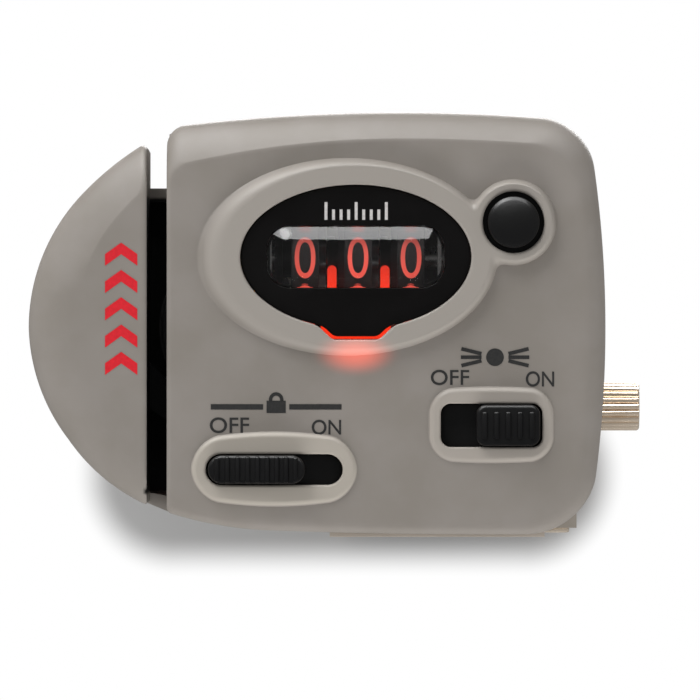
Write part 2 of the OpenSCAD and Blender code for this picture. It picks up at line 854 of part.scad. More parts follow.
module number_wheel(x, bore, has_gear, has_carry) {
    left = x - drum_w / 2;
    right = x + drum_w / 2;
    heart_x = x + gap_mid;
    color(black) difference() {
        union() {
            x_rod(shaft_y, shaft_z, left, right, drum_r);
            if (has_gear)
                x_plate(right - eps, right + gear_w) translate([shaft_y, shaft_z])
                    rotate(pinion_angle + 180 / ring_teeth)
                    polygon(gear_points(ring_teeth, ring_gear_r, tooth_up, tooth_down, 0.42));
            if (has_carry) x_plate(left - carry_w, right - eps) translate([shaft_y, shaft_z]) {
                circle(carry_r - 0.7);
                for (s = [-1, 1]) rotate(pinion_angle + 180 + s * 9)
                    translate([carry_r - 1, -0.5]) square([1, 1]);
            }
            x_rod(shaft_y, shaft_z, heart_x - heart_w / 2, right, hub_r);
            x_plate(heart_x - heart_w / 2, heart_x + heart_w / 2) translate([shaft_y, shaft_z]) heart();
        }
        difference() {
            x_rod(shaft_y, shaft_z, left - 1, right - web_w, drum_r - rim_t);
            x_rod(shaft_y, shaft_z, left - drum_w, right, has_carry ? carry_r : hub_r);
            x_plate(heart_x - heart_w / 2, left) translate([shaft_y, shaft_z]) heart();
        }
        if (has_carry) difference() {
            x_rod(shaft_y, shaft_z, left - 1, right - web_w, carry_r - 1.4);
            x_rod(shaft_y, shaft_z, left - drum_w, right, hub_r);
            x_plate(heart_x - heart_w / 2, left) translate([shaft_y, shaft_z]) heart();
        }
        x_rod(shaft_y, shaft_z, left - drum_w, right + drum_w, bore);
    }
}

module units_wheel() {
    number_wheel(units_x, shaft_r, false, true);
}

module tens_wheel() {
    number_wheel(units_x - drum_pitch, shaft_r + run_fit, true, true);
}

module hundreds_wheel() {
    number_wheel(units_x - 2 * drum_pitch, shaft_r + run_fit, true, false);
}

module pinion_shaft() {
    color(steel) x_rod(pinion_y, pinion_z, left_plate, right_plate + plate_t, lever_pin_r);
}

module transfer_pinion(x) {
    left = x - drum_pitch + drum_w / 2 + slide_fit;
    right = x - drum_w / 2 - slide_fit;
    color(white) difference() {
        x_plate(left, right) translate([pinion_y, pinion_z]) rotate(pinion_angle + 180)
            polygon(gear_points(pinion_teeth, pinion_r, tooth_up, tooth_down, 0.42));
        x_rod(pinion_y, pinion_z, left - 1, right + 1, lever_pin_r + run_fit);
    }
}

module tens_pinion() {
    transfer_pinion(units_x);
}

module hundreds_pinion() {
    transfer_pinion(units_x - drum_pitch);
}

// Reset: button, return spring, lever with fingers and its pin
module reset_button() {
    length = inner_y + seat_gap - face_y + button_out;
    dome_r = 7.5;
    base = inner_y + seat_gap;
    color(black) {
        translate([button_x, base, button_z]) rotate([90, 0, 0]) rotate_extrude() intersection() {
            square([button_r, length]);
            translate([0, length - dome_r]) circle(dome_r, $fn = 96);
        }
        y_rod(button_x, button_z, base - eps, base + button_flange_t, button_flange_r);
        y_rod(button_x, button_z, base, stem_end, button_stem_r);
    }
}

coil_turns = 6;
coil_rings = 8;
coil_sides = 6;
coil_r = 2.1;
coil_wire = 0.25;
coil_front = inner_y + seat_gap + button_flange_t + 0.05 + coil_wire;
coil_back = ear_y - 0.05 - coil_wire;
coil_pitch = (coil_back - coil_front) / coil_turns;
coil_gap = coil_pitch - 2 * coil_wire;
echo(reset_spring_gap = coil_gap);

function coil_point(i, k) =
    let (a = i * 360 / coil_rings, b = k * 360 / coil_sides, r = coil_r + coil_wire * cos(b))
    let (y = coil_front + coil_pitch * i / coil_rings + coil_wire * sin(b))
    [button_x + r * cos(a), y, button_z + r * sin(a)];

module reset_spring() {
    rings = coil_turns * coil_rings;
    points = [for (i = [0 : rings], k = [0 : coil_sides - 1]) coil_point(i, k)];
    sides = [for (i = [0 : rings - 1], k = [0 : coil_sides - 1], h = [0, 1])
        let (n = (k + 1) % coil_sides, a = i * coil_sides, b = a + coil_sides)
        h == 0 ? [a + k, a + n, b + n] : [a + k, b + n, b + k]];
    last = rings * coil_sides;
    ends = [for (k = [1 : coil_sides - 2], h = [0, 1])
        h == 0 ? [0, k + 1, k] : [last, last + k, last + k + 1]];
    color(steel) polyhedron(points, concat(sides, ends));
}

module reset_lever() {
    first = units_x - 2 * drum_pitch + gap_mid;
    last = button_x + pad_half_w;
    tip_z = shaft_z + finger_tip;
    color(white) difference() {
        union() {
            x_rod(lever_y, lever_z, first - finger_w / 2, last, lever_tube_r);
            for (i = [0 : 2])
                x_plate(units_x - i * drum_pitch + gap_mid - finger_w / 2,
                    units_x - i * drum_pitch + gap_mid + finger_w / 2) {
                    translate([shaft_y, lever_z - finger_t / 2]) square([lever_y - shaft_y, finger_t]);
                    translate([shaft_y - finger_t / 2, tip_z])
                        square([finger_t, lever_z - tip_z + finger_t / 2]);
                }
            block(button_x - pad_half_w, button_x + pad_half_w, stem_end + pad_gap,
                stem_end + pad_gap + lever_pad_t, button_z - pad_half_w, lever_z);
        }
        x_rod(lever_y, lever_z, first - 2, last + 2, lever_pin_r + run_fit);
    }
}

module lever_pin() {
    color(steel) x_rod(lever_y, lever_z, left_plate, ear_right, lever_pin_r);
}

// Line lock: slider, roller carriage, axle and pinch roller
stem_x = lock_left + 7;

module lock_slider() {
    grip_low = face_y - lock_grip_h + 1.2;
    grip_high = face_y - lock_grip_h;
    left = lock_left + joint_gap;
    right = left + grip_w;
    strip_y = inner_y + seat_gap;
    half = lock_slot_h / 2 - slide_fit;
    color(black) difference() {
        union() {
            block(lock_left - 2, lock_x + lock_slot_w / 2 + 1.5, strip_y, inner_y + strip_t,
                lock_z - lock_slot_h / 2 - strip_lap, lock_z + lock_slot_h / 2 + strip_lap);
            intersection() {
                translate([0, 0, lock_z - half]) linear_extrude(2 * half) {
                    polygon([[left + 1, grip_low], [right - 1, grip_high], [right, grip_high + 1],
                        [right, strip_y + eps], [left, strip_y + eps], [left, grip_low + 1]]);
                    translate([left + 1, grip_low + 1]) circle(1);
                    translate([right - 1, grip_high + 1]) circle(1);
                }
                y_plate(grip_high - 1, strip_y + 1) translate([left + grip_w / 2, lock_z])
                    stadium(grip_w, 2 * half);
            }
            block(stem_x - stem_w / 2, stem_x + stem_w / 2, inner_y + strip_t - eps, carriage_front,
                lock_z - stem_drop - stem_h / 2, lock_z - stem_drop + stem_h / 2);
        }
        for (i = [0 : rib_count - 1]) {
            x = left + 1.6 + i * (grip_w - 3.4) / (rib_count - 1);
            y = grip_low + (grip_high - grip_low) * (x - left - 1) / (grip_w - 2);
            translate([x, y, lock_z]) cylinder(h = 2 * half + 1, r = rib_r, center = true);
        }
    }
}

module roller_carriage() {
    color(white) difference() {
        y_plate(carriage_front, carriage_back) {
            hull() {
                translate([stem_x, lock_z]) circle(link_r, $fn = 32);
                translate([link_x, link_z]) circle(link_r, $fn = 32);
            }
            hull() {
                translate([link_x, link_z]) circle(link_r, $fn = 32);
                translate([roller_x, wheel_z]) circle(link_r, $fn = 32);
            }
        }
        y_rod(roller_x, wheel_z, carriage_front - 1, carriage_back + 1, lever_pin_r);
    }
}

module roller_axle() {
    color(steel) {
        y_rod(roller_x, wheel_z, wheel_front - 0.2, carriage_back, lever_pin_r);
        y_rod(roller_x, wheel_z, wheel_front - 0.8, wheel_front - 0.2 + eps, lever_pin_r + 0.8);
    }
}

module pinch_roller() {
    mid = (wheel_front + wheel_back) / 2;
    color(rubber) difference() {
        y_rod(roller_x, wheel_z, mid - roller_w / 2, mid + roller_w / 2, roller_r);
        y_rod(roller_x, wheel_z, mid - roller_w, mid + roller_w, lever_pin_r + run_fit);
        for (s = [-1, 1]) translate([roller_x, mid + s * roller_w / 2, wheel_z]) rotate([90, 0, 0])
            rotate_extrude() translate([2.6, 0]) circle(0.6);
    }
}

// Measuring wheel with its tyre, axle, worm and bushes
module measuring_wheel() {
    rim_r = wheel_r - tyre_t;
    dish_d = wheel_w * 0.3;
    hub_t = 1.6;
    hole_r = 2;
    hole_ring_r = (rim_r + axle_r) / 2;
    color(white) difference() {
        y_rod(wheel_x, wheel_z, wheel_front, wheel_back, rim_r);
        for (ends = [[wheel_front - 1, wheel_front + dish_d], [wheel_back - dish_d, wheel_back + 1]])
            y_plate(ends[0], ends[1]) translate([wheel_x, wheel_z]) difference() {
                circle(rim_r - hub_t);
                circle(axle_r + hub_t);
            }
        for (a = [0 : 60 : 300])
            y_rod(wheel_x + hole_ring_r * cos(a), wheel_z + hole_ring_r * sin(a),
                wheel_front - 1, wheel_back + 1, hole_r);
        y_rod(wheel_x, wheel_z, wheel_front - 1, wheel_back + 1, axle_r);
    }
}

module wheel_tyre() {
    mid = (wheel_front + wheel_back) / 2;
    edge = 0.5;
    color(rubber) translate([wheel_x, mid, wheel_z]) rotate([90, 0, 0]) rotate_extrude($fn = 96)
        difference() {
            translate([wheel_r - tyre_t, -wheel_w / 2]) square([tyre_t, wheel_w]);
            for (s = [-1, 1]) translate([wheel_r, s * wheel_w / 2]) circle(edge);
        }
}

module wheel_axle() {
    collar_r = axle_r + 0.4;
    collar_t = 0.8;
    color(steel) {
        y_rod(wheel_x, wheel_z, inner_y + 0.3, floor_y - 0.3, axle_r);
        y_rod(wheel_x, wheel_z, shaft_y - worm_len / 2, shaft_y + worm_len / 2, worm_core_r);
        for (s = [-1, 1])
            y_rod(wheel_x, wheel_z, shaft_y + s * (worm_len + collar_t) / 2 - collar_t / 2,
                shaft_y + s * (worm_len + collar_t) / 2 + collar_t / 2, collar_r);
    }
}

module axle_bushes() {
    front_ends = [inner_y + run_fit, inner_y + bush_len];
    back_ends = [wheel_back + joint_gap, floor_y - run_fit];
    color(brass) for (ends = [front_ends, back_ends]) difference() {
        y_rod(wheel_x, wheel_z, ends[0], ends[1], bush_r);
        y_rod(wheel_x, wheel_z, ends[0] - 1, ends[1] + 1, axle_r + run_fit);
    }
}

// Rod clamp: bracket, fixed pad, jaw, screw and its fasteners
module clamp_bracket() {
    low = case_low;
    high = case_low + clamp_h;
    color(grey) difference() {
        union() {
            block(bracket_left, bracket_right, back_y, back_y + base_t, low, high);
            cheek(bracket_left, bracket_left + cheek_t, low, high);
            cheek(bracket_right - right_cheek_t, bracket_right, low, high);
        }
        x_rod(0, 0, bracket_right - right_cheek_t - 1, bracket_right + 1, screw_r + run_fit);
        block(jaw_open - jaw_travel - cell_gap, bracket_right - right_cheek_t,
            back_y + base_t - tongue_d - seat_gap, back_y + base_t + 1,
            -tongue_h / 2 - slide_fit, tongue_h / 2 + slide_fit);
        for (z = bracket_screw_z)
            y_rod(bracket_screw_x, z, back_y - 1, back_y + base_t + 1, case_screw_r + run_fit);
        translate([rivet_x, 0, low - 1]) cylinder(h = rivet_len + 1.4, r = case_screw_r + run_fit);
    }
}

module cheek(x0, x1, low, high) {
    round_r = 3;
    x_plate(x0, x1) {
        translate([back_y, low]) square([cheek_back - back_y - round_r, high - low]);
        translate([back_y, low + round_r]) square([cheek_back - back_y, high - low - 2 * round_r]);
        for (z = [low + round_r, high - round_r]) translate([cheek_back - round_r, z]) circle(round_r);
    }
}

module rod_pad() {
    color(rubber) difference() {
        block(bracket_left + cheek_t, -pad_reach, -pad_half, pad_half, case_low, case_low + clamp_h);
        translate([0, 0, case_low - 1]) cylinder(h = clamp_h + 2, r = rod_r, $fn = 96);
        for (s = [-1, 1]) for (z = [case_low + 6 : 5 : case_low + clamp_h - 4])
            translate([bracket_left + cheek_t + 1.4, s * pad_half, z]) rotate([0, 90, 0])
                cylinder(h = 40, r = 0.5);
    }
}

module clamp_jaw() {
    left = jaw_open + jaw_pad_t;
    color(grey) difference() {
        union() {
            block(left, left + jaw_t, -jaw_half, jaw_half, -jaw_h / 2, jaw_h / 2);
            block(left, left + jaw_t, back_y + base_t - tongue_d, -jaw_half + eps,
                -tongue_h / 2, tongue_h / 2);
        }
        x_rod(0, 0, left + 0.8, left + jaw_t + 1, screw_r + run_fit);
        for (s = [-1, 1]) translate([left + jaw_t, s * (jaw_half + 0.01), 0]) rotate([0, 0, 45])
            cube([1.6, 1.6, jaw_h + 2], center = true);
    }
}

module jaw_pad() {
    color(rubber) difference() {
        block(jaw_open, jaw_open + jaw_pad_t, -jaw_half + 1, jaw_half - 1,
            -jaw_h / 2 + 0.5, jaw_h / 2 - 0.5);
        for (z = [-jaw_h / 2 + 2 : 2 : jaw_h / 2 - 2])
            translate([jaw_open, 0, z]) rotate([90, 0, 0]) cylinder(h = 30, r = 0.3, center = true);
    }
}

module clamp_screw() {
    chamfer = 0.7;
    color(steel) {
        x_rod(0, 0, jaw_open + jaw_pad_t + 1.2, thumb_left + eps, screw_r);
        intersection() {
            x_plate(thumb_left, thumb_left + thumb_len) polygon([for (i = [0 : 2 * knurls - 1])
                let (r = i % 2 == 0 ? thumb_r : thumb_r - knurl_d, a = i * 180 / knurls)
                [r * cos(a), r * sin(a)]]);
            translate([thumb_left, 0, 0]) rotate([0, 90, 0]) rotate_extrude() polygon([[0, 0],
                [thumb_r - chamfer, 0], [thumb_r + eps, chamfer], [thumb_r + eps, thumb_len - chamfer],
                [thumb_r - chamfer, thumb_len], [0, thumb_len]]);
        }
    }
}

module screw_clip() {
    right = bracket_right - right_cheek_t - seat_gap;
    color(black) difference() {
        x_rod(0, 0, right - clip_t, right, clip_r);
        x_rod(0, 0, right - 1, right + 1, screw_r);
        x_plate(right - 1, right + 1) translate([0, -clip_r]) square([1.6, 2 * clip_r], center = true);
    }
}

module bracket_screws() {
    color(steel) for (z = bracket_screw_z) {
        y_rod(bracket_screw_x, z, floor_y + 0.2, back_y + base_t + eps, case_screw_r);
        y_rod(bracket_screw_x, z, back_y + base_t, back_y + base_t + 1.2, case_head_r);
    }
}

module bracket_rivet() {
    color(steel) {
        translate([rivet_x, 0, case_low - rivet_t]) cylinder(h = rivet_t, r = rivet_r);
        translate([rivet_x, 0, case_low - eps]) cylinder(h = rivet_len, r = case_screw_r);
    }
}

front_cover();
nose_cover();
back_cover();
battery_door();
cover_screws();
display_mask();
window_lens();
light_guide();
led();
circuit_board();
switch_body();
switch_knob();
coin_cell();
cell_holder();
cell_contacts();
counter_frame();
counter_shaft();
worm_wheel();
units_wheel();
tens_wheel();
hundreds_wheel();
pinion_shaft();
tens_pinion();
hundreds_pinion();
reset_button();
reset_spring();
reset_lever();
lever_pin();
lock_slider();
roller_carriage();
roller_axle();
pinch_roller();
measuring_wheel();
wheel_tyre();
wheel_axle();
axle_bushes();
clamp_bracket();
rod_pad();
clamp_jaw();
jaw_pad();
clamp_screw();
screw_clip();
bracket_screws();
bracket_rivet();
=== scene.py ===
"""Looks of a fishing line counter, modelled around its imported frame."""
import json
import logging
import math
from dataclasses import dataclass
from enum import Enum
from functools import partial
from typing import Callable, Sequence

import bmesh
import bpy
import numpy as np
from mathutils import Matrix, Vector

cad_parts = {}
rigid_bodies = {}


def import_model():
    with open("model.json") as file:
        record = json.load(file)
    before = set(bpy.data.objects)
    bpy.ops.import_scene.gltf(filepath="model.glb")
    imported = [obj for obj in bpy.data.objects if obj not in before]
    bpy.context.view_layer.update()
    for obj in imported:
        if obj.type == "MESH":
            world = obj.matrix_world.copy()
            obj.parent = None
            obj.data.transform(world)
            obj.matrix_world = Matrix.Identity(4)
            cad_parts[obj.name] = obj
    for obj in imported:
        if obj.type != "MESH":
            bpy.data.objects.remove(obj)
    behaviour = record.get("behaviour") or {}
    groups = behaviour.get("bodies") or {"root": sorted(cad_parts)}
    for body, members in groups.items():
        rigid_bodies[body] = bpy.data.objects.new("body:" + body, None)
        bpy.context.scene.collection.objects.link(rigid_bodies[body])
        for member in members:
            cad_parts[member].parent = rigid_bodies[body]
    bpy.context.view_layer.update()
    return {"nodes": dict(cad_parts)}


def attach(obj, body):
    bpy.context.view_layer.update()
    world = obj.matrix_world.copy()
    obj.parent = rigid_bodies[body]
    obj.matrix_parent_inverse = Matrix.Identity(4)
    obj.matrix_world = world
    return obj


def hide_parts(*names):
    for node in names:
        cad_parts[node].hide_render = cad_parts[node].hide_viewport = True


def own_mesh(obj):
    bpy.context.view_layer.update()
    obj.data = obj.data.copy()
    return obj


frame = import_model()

LOG = logging.getLogger("line_counter")
MM = 0.001
FULL_TURN = 2 * math.pi
FRONT = (0, -1, 0)
TINY = 1e-6
# In metres: what is one vertex in a skin, one vertex in a copied solid, and one plane.
SEAM, WELD, LEVEL_SLACK = 1e-7, 2e-6, 1e-6
# In millimetres: how thick a print is, and how far it stands off the face.
PRINT_T, PRINT_GAP = 0.03, 0.005
# Stretch of the lathe marks along Y, and of the lamp's light across X, Y and Z.
TURNED_STRETCH, LAMP_STRETCH = (1.0, 0.12, 1.0), (0.55, 0.6, 1.0)

Object = bpy.types.Object
Tree = bpy.types.NodeTree
Socket = bpy.types.NodeSocket
Point = tuple[float, float]
Point3 = tuple[float, float, float]
Loop = list[Point3]
Box = tuple[Point3, Point3]
Field = Callable[[np.ndarray, np.ndarray], np.ndarray]


class Body(Enum):
    """Bodies of the frame that a piece can ride on."""

    CASE = "case"
    DOOR = "door"
    LIGHT_KNOB = "light_knob"
    BUTTON = "button"
    MEASURING = "measuring"
    UNITS = "units"
    TENS = "tens"
    HUNDREDS = "hundreds"
    LOCK = "lock"
    JAW = "jaw"
    SCREW = "screw"


class Slot(Enum):
    """Material slots of the record."""

    CASE = "case_plastic"
    BLACK = "black_plastic"
    CLEAR = "clear_plastic"
    LIGHT = "light_red"
    BOARD = "board_green"
    STEEL = "steel"
    NICKEL = "nickel"
    BRASS = "brass"
    WHEEL = "number_wheel"
    WHITE = "white_plastic"
    RUBBER = "rubber"


class Grain(Enum):
    """How a surface was made, which sets the pattern of its relief."""

    MOULDED = "moulded"
    TURNED = "turned"
    PRINTED = "printed"


def linear(code: str) -> tuple[float, float, float, float]:
    """Turns an sRGB hex colour into linear RGBA.

    Args:
        code: colour as #rrggbb.

    Returns:
        Linear red, green, blue and an alpha of one.
    """
    parts = [int(code[i:i + 2], 16) / 255 for i in (1, 3, 5)]
    return (*[p / 12.92 if p <= 0.04045 else ((p + 0.055) / 1.055) ** 2.4 for p in parts], 1.0)


def connect(tree: Tree, node: bpy.types.Node, inputs: dict) -> None:
    """Sets or links inputs of a node.

    Args:
        tree: node tree that holds the node.
        node: node with the inputs.
        inputs: values or output sockets by input name or number.
    """
    for key, value in inputs.items():
        if isinstance(value, Socket):
            tree.links.new(value, node.inputs[key])
        else:
            node.inputs[key].default_value = value


def add_node(tree: Tree, kind: str, inputs: dict | None = None, **settings: str) -> bpy.types.Node:
    """Adds a shader node, sets it up and links it.

    Args:
        tree: node tree that takes the node.
        kind: node type, without the words that all of them start with.
        inputs: values or output sockets by input name or number.
        settings: attributes of the node.

    Returns:
        The new node.
    """
    node = tree.nodes.new("ShaderNode" + kind)
    for key, value in settings.items():
        setattr(node, key, value)
    connect(tree, node, inputs or {})
    return node


@dataclass(frozen=True)
class Zone:
    """A box in millimetres in which a surface has another tint."""

    low: Point3
    high: Point3
    colour: str
    fade: float = 0.4

    def away(self, tree: Tree) -> Socket:
        """Measures the distance from the box.

        Args:
            tree: node tree of the finish.

        Returns:
            Distance in metres.
        """
        low, high = Vector(self.low) * MM, Vector(self.high) * MM
        spot = add_node(tree, "TexCoord").outputs["Object"]
        off = add_node(tree, "VectorMath", {0: spot, 1: (low + high) / 2}, operation="SUBTRACT")
        size = add_node(tree, "VectorMath", {0: off.outputs[0]}, operation="ABSOLUTE")
        over = add_node(tree, "VectorMath", {0: size.outputs[0], 1: (high - low) / 2}, operation="SUBTRACT")
        beyond = add_node(tree, "VectorMath", {0: over.outputs[0], 1: (0, 0, 0)}, operation="MAXIMUM")
        return add_node(tree, "VectorMath", {0: beyond.outputs[0]}, operation="LENGTH").outputs["Value"]

    def tint(self, tree: Tree, colour: Socket) -> Socket:
        """Mixes the zone's tint into a colour.

        Args:
            tree: node tree of the finish.
            colour: colour outside the box.

        Returns:
            Colour that changes to the tint inside the box.
        """
        share = add_node(tree, "MapRange", {"Value": self.away(tree), "From Max": self.fade * MM})
        tints = {"Factor": share.outputs[0], 6: linear(self.colour), 7: colour}
        return add_node(tree, "Mix", tints, data_type="RGBA").outputs[2]


@dataclass(frozen=True)
class Finish:
    """A surface: its colours, gloss and relief."""

    name: str
    slot: Slot
    colour: str
    shade: str
    roughness: float
    spread: float = 0.06
    grain: Grain = Grain.MOULDED
    grain_mm: float = 0.22
    relief_mm: float = 0.012
    mottle_mm: float = 7.0
    metallic: float = 0.0
    ior: float = 1.5
    coat: float = 0.0
    transmission: float = 0.0
    glow: str = ""
    glow_strength: float = 0.0
    lit_at: Point3 | None = None
    lit_mm: float = 0.0
    zones: tuple[Zone, ...] = ()

    def lamp_light(self, tree: Tree) -> Socket:
        """Painted glow that fades with the distance from the lamp.

        Args:
            tree: node tree of the finish.

        Returns:
            Strength of the glow.
        """
        spot = add_node(tree, "TexCoord").outputs["Object"]
        away = add_node(tree, "VectorMath", {0: spot, 1: Vector(self.lit_at) * MM}, operation="SUBTRACT")
        wide = add_node(tree, "VectorMath", {0: away.outputs[0], 1: LAMP_STRETCH}, operation="MULTIPLY")
        length = add_node(tree, "VectorMath", {0: wide.outputs[0]}, operation="LENGTH").outputs["Value"]
        ends = {"Value": length, "From Max": self.lit_mm * MM, "To Min": self.glow_strength, "To Max": 0.0}
        return add_node(tree, "MapRange", ends, interpolation_type="SMOOTHERSTEP").outputs[0]

    def surface(self, tree: Tree) -> dict:
        """Colour, gloss and relief, which the noise of the grain breaks up.

        Args:
            tree: node tree of the finish.

        Returns:
            Inputs of the shader.
        """
        at = add_node(tree, "TexCoord").outputs["Object"]
        if self.grain is Grain.TURNED:
            at = add_node(tree, "Mapping", {"Vector": at, "Scale": TURNED_STRETCH}).outputs[0]
        broad = add_node(tree, "TexNoise", {"Vector": at, "Scale": 1 / (self.mottle_mm * MM), "Detail": 3.0})
        fine = add_node(tree, "TexNoise", {"Vector": at, "Scale": 1 / (self.grain_mm * MM), "Detail": 2.0,
                                           "Roughness": 0.6}).outputs["Fac"]
        share = add_node(tree, "MapRange", {"Value": broad.outputs["Fac"], "From Min": 0.35, "From Max": 0.65})
        tints = {"Factor": share.outputs[0], 6: linear(self.colour), 7: linear(self.shade)}
        colour = add_node(tree, "Mix", tints, data_type="RGBA").outputs[2]
        for zone in self.zones:
            colour = zone.tint(tree, colour)
        gloss = add_node(tree, "MapRange", {
            "Value": fine, "From Min": 0.3, "From Max": 0.7, "To Min": max(self.roughness - self.spread, 0.02),
            "To Max": self.roughness + self.spread})
        made = {"Base Color": colour, "Roughness": gloss.outputs[0]}
        if self.grain is not Grain.PRINTED:
            relief = {"Height": fine, "Strength": 0.5, "Distance": self.relief_mm * MM}
            made["Normal"] = add_node(tree, "Bump", relief).outputs[0]
        return made

    def material(self) -> bpy.types.Material:
        """Builds the finish, once.

        Returns:
            Its material.
        """
        made = bpy.data.materials.get(self.name)
        if made:
            return made
        made = bpy.data.materials.new(self.name)
        made.use_nodes = True
        made.diffuse_color = linear(self.colour)
        tree = made.node_tree
        inputs = {**self.surface(tree), "Metallic": self.metallic, "Transmission Weight": self.transmission}
        if not self.metallic:
            inputs["IOR"] = self.ior
        if self.coat:
            inside = add_node(tree, "NewGeometry").outputs["Backfacing"]
            coat = add_node(tree, "MapRange", {"Value": inside, "To Min": self.coat, "To Max": 0.0})
            inputs["Coat Weight"] = coat.outputs[0]
        if self.glow:
            inputs["Emission Color"] = linear(self.glow)
            inputs["Emission Strength"] = self.lamp_light(tree) if self.lit_at else self.glow_strength
        connect(tree, tree.nodes["Principled BSDF"], inputs)
        return made

    def dress(self, piece: Object) -> None:
        """Gives a piece this finish as its only material."""
        piece.data.materials.clear()
        piece.data.materials.append(self.material())


# Walls of the line slot, painted near black as the shade that fills the deep, narrow slot.
SLOT_PAINTED_SHADE = Zone((-37.0, -38.4, -11.0), (-34.1, -10.6, 27.4), "#0a0909")
# Raised rims of the pads and the display ring, painted paler as highlights where the light catches them.
RIM_PAINTED_HIGHLIGHTS = (Zone((-31.5, -41.0, -13.0), (-9.0, -39.75, -3.0), "#aea79d", 0.2),
               Zone((0.0, -41.0, -7.2), (16.0, -39.75, 2.7), "#a69f97", 0.2),
               Zone((-29.0, -41.5, 6.0), (18.0, -40.6, 34.0), "#9e9891", 0.8))
# Moulded ABS with a fine spark-eroded texture: a soft sheen that breaks up the highlights. The line slot's walls
# carry painted shade.
CASE_GREY = Finish("Moulded grey ABS", Slot.CASE, "#908a84", "#8a847d", 0.46, 0.07, relief_mm=0.010, ior=1.34,
                   zones=(SLOT_PAINTED_SHADE,))
# The same resin with a painted red glow for the light of the lamp under the display tab, the painted shade of the
# line slot and the painted highlights of the raised rims.
CASE_LIT = Finish("Moulded grey ABS lit red", Slot.CASE, "#908a84", "#8a847d", 0.46, 0.07, relief_mm=0.010,
                  ior=1.34, glow="#ff5a3c", glow_strength=0.68, lit_at=(-9.65, -40.0, 7.1), lit_mm=3.5,
                  zones=(SLOT_PAINTED_SHADE, *RIM_PAINTED_HIGHLIGHTS))
# The door is painted lighter than the case, standing for the light that falls on its strip below the case.
DOOR_PAINTED_LIGHT = Finish("Moulded pale grey ABS", Slot.CASE, "#aea499", "#a89e93", 0.5, 0.07)
# Nylon of the clamp, rougher and duller than the case.
CLAMP_GREY = Finish("Moulded grey nylon", Slot.CASE, "#8b857c", "#837c73", 0.55, 0.08, grain_mm=0.3)
# Satin black ABS of the knobs.
KNOB_BLACK = Finish("Satin black ABS", Slot.BLACK, "#0b0b0c", "#0f0f10", 0.38, 0.08, grain_mm=0.16, ior=1.4)
# Smoother black ABS of the push button.
BUTTON_BLACK = Finish("Gloss black ABS", Slot.BLACK, "#0d0d0e", "#111111", 0.34, 0.05, grain_mm=0.2,
                      relief_mm=0.004, ior=1.42)
# Polished black acrylic: deep gloss with almost no relief.
PLATE_BLACK = Finish("Polished black acrylic", Slot.BLACK, "#100f0f", "#131212", 0.2, 0.03, grain_mm=0.5,
                     relief_mm=0.001, ior=1.22)
# Injection moulded polycarbonate, clear as a watch glass.
CLEAR = Finish("Clear polycarbonate", Slot.CLEAR, "#f4f2f2", "#ffffff", 0.03, 0.01, grain_mm=1.5,
               relief_mm=0.0004, ior=1.06, coat=0.9, transmission=1.0)
# Acrylic lit from behind by the red lamp.
LIT_RED = Finish("Red lit acrylic", Slot.LIGHT, "#8c1c10", "#70120a", 0.3, glow="#ff3210", glow_strength=1.0,
                 lit_at=(-9.65, -39.0, 12.0), lit_mm=14.0)
# Black number wheel with a fine matt skin.
WHEEL_BLACK = Finish("Matt black acetal", Slot.WHEEL, "#0c0a0a", "#130d0c", 0.5, 0.06, grain_mm=0.25)
# Pad-printed figures with a painted red glow for the lamp's light, fading away from it; above the window they are
# painted near black, as shade where the lamp below does not reach.
FIGURE_INK = Finish("Salmon figure ink", Slot.WHEEL, "#b04a42", "#9c3e36", 0.5, grain=Grain.PRINTED,
                    glow="#ff5a48", glow_strength=0.7, lit_at=(-9.65, -38.0, 14.5), lit_mm=13.0,
                    zones=(Zone((-25.0, -45.0, 22.6), (10.0, -20.0, 40.0), "#060505", 0.3),))
# Pad-printed legends: flat ink with a slightly uneven coat.
DARK_INK = Finish("Dark pad print ink", Slot.BLACK, "#1e1e1e", "#272625", 0.6, grain=Grain.PRINTED,
                  mottle_mm=0.4)
WHITE_INK = Finish("White pad print ink", Slot.WHITE, "#d6d3d1", "#c4c0be", 0.55, grain=Grain.PRINTED,
                   mottle_mm=0.4)
RED_INK = Finish("Red pad print ink", Slot.LIGHT, "#df0a22", "#d2081e", 0.5, grain=Grain.PRINTED, mottle_mm=0.5)
# Nickel plate over turned brass: bright, warm, with fine lathe marks.
NICKEL = Finish("Nickel plated brass", Slot.NICKEL, "#fbecd9", "#eed9c0", 0.18, 0.06, grain=Grain.TURNED,
                grain_mm=0.25, relief_mm=0.004, metallic=0.7)
# Zinc plated steel of the screws, shafts and the frame.
STEEL = Finish("Zinc plated steel", Slot.STEEL, "#b4b4b2", "#9fa0a0", 0.32, 0.1, grain=Grain.TURNED,
               grain_mm=0.3, relief_mm=0.006, metallic=1.0)
# Drawn brass of gears and contacts: yellow, with fine draw marks.
BRASS = Finish("Drawn brass", Slot.BRASS, "#c9a75a", "#b08d43", 0.3, 0.08, grain=Grain.TURNED, metallic=1.0)
# Nitrile rubber of tyre, roller and pads: matt, almost without highlights.
RUBBER = Finish("Black nitrile rubber", Slot.RUBBER, "#1c1b1a", "#242322", 0.78, 0.1, grain_mm=0.35,
                relief_mm=0.03)
# Unpainted acetal of pinions and wheel: milky, with a soft sheen.
ACETAL = Finish("Natural acetal", Slot.WHITE, "#dcd8cc", "#d0cbbd", 0.45, grain_mm=0.3)
# Green solder mask of the board: an even, slightly glossy coat.
BOARD = Finish("Green board laminate", Slot.BOARD, "#245c33", "#1d4d2a", 0.4, grain_mm=0.5)


def deselect() -> None:
    """Leaves edit mode and deselects every object."""
    if bpy.context.mode != "OBJECT":
        bpy.ops.object.mode_set(mode="OBJECT")
    bpy.ops.object.select_all(action="DESELECT")


